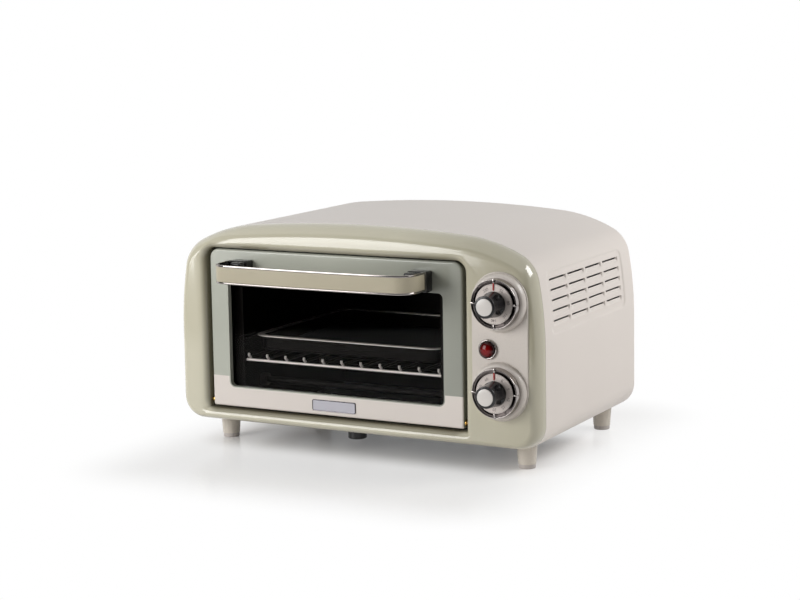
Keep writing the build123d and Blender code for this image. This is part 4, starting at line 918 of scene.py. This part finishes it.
# Dull lacquer on a plastic strip: a flat beige line that does not mirror like the metal round it.
band_lacquer = finish("beige_band_lacquer", "#B9B19C", "#B1A994", 0.42, 0.5, bump_mm=0.004,
                      **{"Specular IOR Level": 0.15})
crown = [(0.78, 6.7), (0.42, 6.7), (0.3, 6.5), (0.2, 5.0), (0.14, 2.5), (0.12, 0.0)]
band = crown + [(depth, -z) for depth, z in reversed(crown[:-1])]
band_bm = bmesh.new()
swept(band_bm, handle_stations(band_end), band)
finished(band_bm, "handle_inlay", "door", band_lacquer, "handle_band", slot="band_plastic")
for name, side in (("left", -1), ("right", 1)):
    spacer_bm = bmesh.new()
    for reach, behind, z, size in spacer_blocks:
        block(spacer_bm, (door_middle + side * reach, behind, z), size, 1.6)
    finished(spacer_bm, f"{name}_spacer_block", "door", black, f"{name}_handle_spacer", slot="black_plastic")


# Cavity: a steel liner with a non-stick coat, which also covers its front frame, the shelf guides
# and the door's inner side.

# Non-stick coat: nearly black, with a dull broken sheen, and painted darker still as the shade inside the cavity, so
# that the inside stays dark.
liner = finish("dark_nonstick_liner", "#070606", "#050404", 0.5, 0.6, bump_mm=0.006,
               **{"Specular IOR Level": 0.12})
dress(liner, "cavity_liner", "cavity_front_frame", "left_shelf_guide", "right_shelf_guide", "door_inner_liner")


# Rack and tray: a rack of welded and plated wire, and a pressed steel tray with a rolled rim. Both
# slide in the shelf guides.

# Plated wire: the front rail is almost white, which is painted light, and all that lies behind it is painted black
# as shade.
rack_chrome = finish("bright_rack_wire", "#FAFAFA", "#F2F2F4", 0.34, 0.6, Metallic=0.4)
dress(shaded(rack_chrome, "Y", -68.6, -67.4, "#0A0A0A"), "wire_rack")
# Bare steel on the rolled rim, almost white as painted light, with a soft bright line along it. Below the rim the
# tray is painted dark as shade.
tray_steel = finish("bare_steel_tray_rim", "#F2F1F0", "#E6E5E4", 0.34, 0.8, Metallic=0.5,
                    **{"Specular IOR Level": 0.1})
dress(shaded(tray_steel, "Z", 101.6, 101.4, "#080707"), "baking_tray")


# Heaters: four rods in steel sheaths, two above and two below, carried by ceramic bushes in the
# liner's walls.

# Oxidised steel: dark grey, with one soft streak of light along each rod.
heater = finish("oxidised_heater_sheath", "#1A1919", "#141313", 0.5, 0.4, bump_mm=0.01, Metallic=0.8)
dress(heater, "lower_front_heater", "lower_rear_heater", "upper_front_heater", "upper_rear_heater")
# Unglazed ceramic: dull and slightly rough, painted a darker brown-grey as the shade inside the cavity.
ceramic = finish("smoked_ceramic", "#5A564E", "#4C4943", 0.7, 0.3, bump_mm=0.02)
dress(ceramic, "heater_bushes")


# Inner works and hardware: plated steel plates, shafts and screws, brass pins and bell, moulded
# bodies of the controls, and a rubber gland in the rear panel.

# Zinc plating: a cool grey metal with a blurred mirror image.
steel = finish("zinc_plated_steel", "#BCBEC0", "#AAACAE", 0.32, 0.5, bump_mm=0.004, Metallic=1.0)
dress(steel, "thermostat_shaft", "timer_shaft", "base_plate", "crumb_flap", "leg_screws", "handle_screws",
      "control_heat_shield")
# Turned brass: warm yellow metal with a fairly clear shine.
brass = finish("turned_brass", "#C8A55E", "#B08E4C", 0.25, 0.4, Metallic=1.0)
dress(brass, "flap_hinge_pins", "door_hinge_pins", "timer_bell")
# Moulded cream plastic with a fine texture: dull and even.
moulded = finish("moulded_cream_plastic", "#D9D2BE", "#CEC7B3", 0.5, 0.5, bump_mm=0.01)
dress(moulded, "thermostat_body", "timer_body", "terminal_block")
# Black rubber: dull and dark grey, with hardly any highlight.
rubber = finish("black_rubber", "#1E1E1E", "#262626", 0.7, 0.3, bump_mm=0.02)
dress(rubber, "cord_gland")
dress(black, "crumb_flap_knob", "lamp_holder")


# Rear screws: plated pan heads with a cross recess, driven through the rear panel into the
# casing's flange. Geometry nodes set them, with a fixed seed for how far each one was turned.
head_outline = [(0.0, 0.6), (3.5, 0.6), (3.6, 0.35), *rounded((2.9, 0.25), 0.7, 0, -75), (1.5, -0.62), (0.0, -0.7)]
screw_places = [(side * x, z) for x, z in ((178.25, 53.8), (176.75, 138.0), (91.6, 203.5)) for side in (-1, 1)]
screw_seat = 216.1
recess_size = (3.6, 1.3, 0.62)


def screw_head():
    """One head with its recess, facing forwards, with its seat on the plane of the door's face."""
    arms = []
    for spin in (0, pi / 2):
        arm = bmesh.new()
        block(arm, (0, -0.6, 0), recess_size, 0.1, spin)
        arms.append(arm)
    return carved(lathe(0, 0, head_outline, 40), *arms)


def placed_copies():
    """Geometry nodes that set copies of an object on given points, each with its own turn."""
    tree, given = new_tree("placed_copies", Geometry="Geometry", Copy="Object", Material="Material")
    shape = node(tree, "GeometryNodeObjectInfo", {"Object": given["Copy"]})
    points = node(tree, "GeometryNodeMeshToPoints", {"Mesh": given["Geometry"]})
    turn = node(tree, "FunctionNodeRandomValue", {"Max": 6.28, "Seed": 7}, data_type="FLOAT")
    spin = node(tree, "ShaderNodeCombineXYZ", {"Y": turn.outputs[1]})
    spread = node(tree, "GeometryNodeInstanceOnPoints", {
        "Points": points.outputs["Points"], "Instance": shape.outputs["Geometry"],
        "Rotation": spin.outputs["Vector"]})
    return ended(tree, spread, given["Material"])


# The head is moved to the origin and mirrored, so that it faces the rear.
head_bm = screw_head()
bmesh.ops.translate(head_bm, verts=head_bm.verts, vec=(0, -face_y, 0))
bmesh.ops.scale(head_bm, verts=head_bm.verts, vec=(1, -1, 1))
bmesh.ops.reverse_faces(head_bm, faces=head_bm.faces)
head_mesh = bpy.data.meshes.new("screw_head")
head_bm.to_mesh(head_mesh)
head_bm.free()
head = placed("screw_head", head_mesh)
seats = bpy.data.meshes.new("rear_screw_heads")
seats.from_pydata([at(x, screw_seat, z) for x, z in screw_places], [], [])
screw_bm = bmesh.new()
screw_bm.from_mesh(grown(placed_copies(), seats, Copy=head, Material=steel))
bpy.data.objects.remove(head)
finished(screw_bm, "rear_screw_heads", "oven_body", steel, "rear_screws", slot="plated_steel")


# Feet: four tapered moulded legs, each held to the base by a screw, that stand on soft
# translucent pads.

# Glossy moulded plastic: a clear highlight down each leg.
leg_cream = finish("gloss_cream_leg", "#CFC7BB", "#CAC2B6", 0.25, 0.8, bump_mm=0.004)
dress(leg_cream, "legs")
# Soft clear plastic, drawn as a solid grey: pale and slightly dull where it meets the table.
pad = finish("clear_grey_pad", "#BDB6B1", "#B0A9A4", 0.35, 0.6, bump_mm=0.01)
dress(pad, "leg_pads")
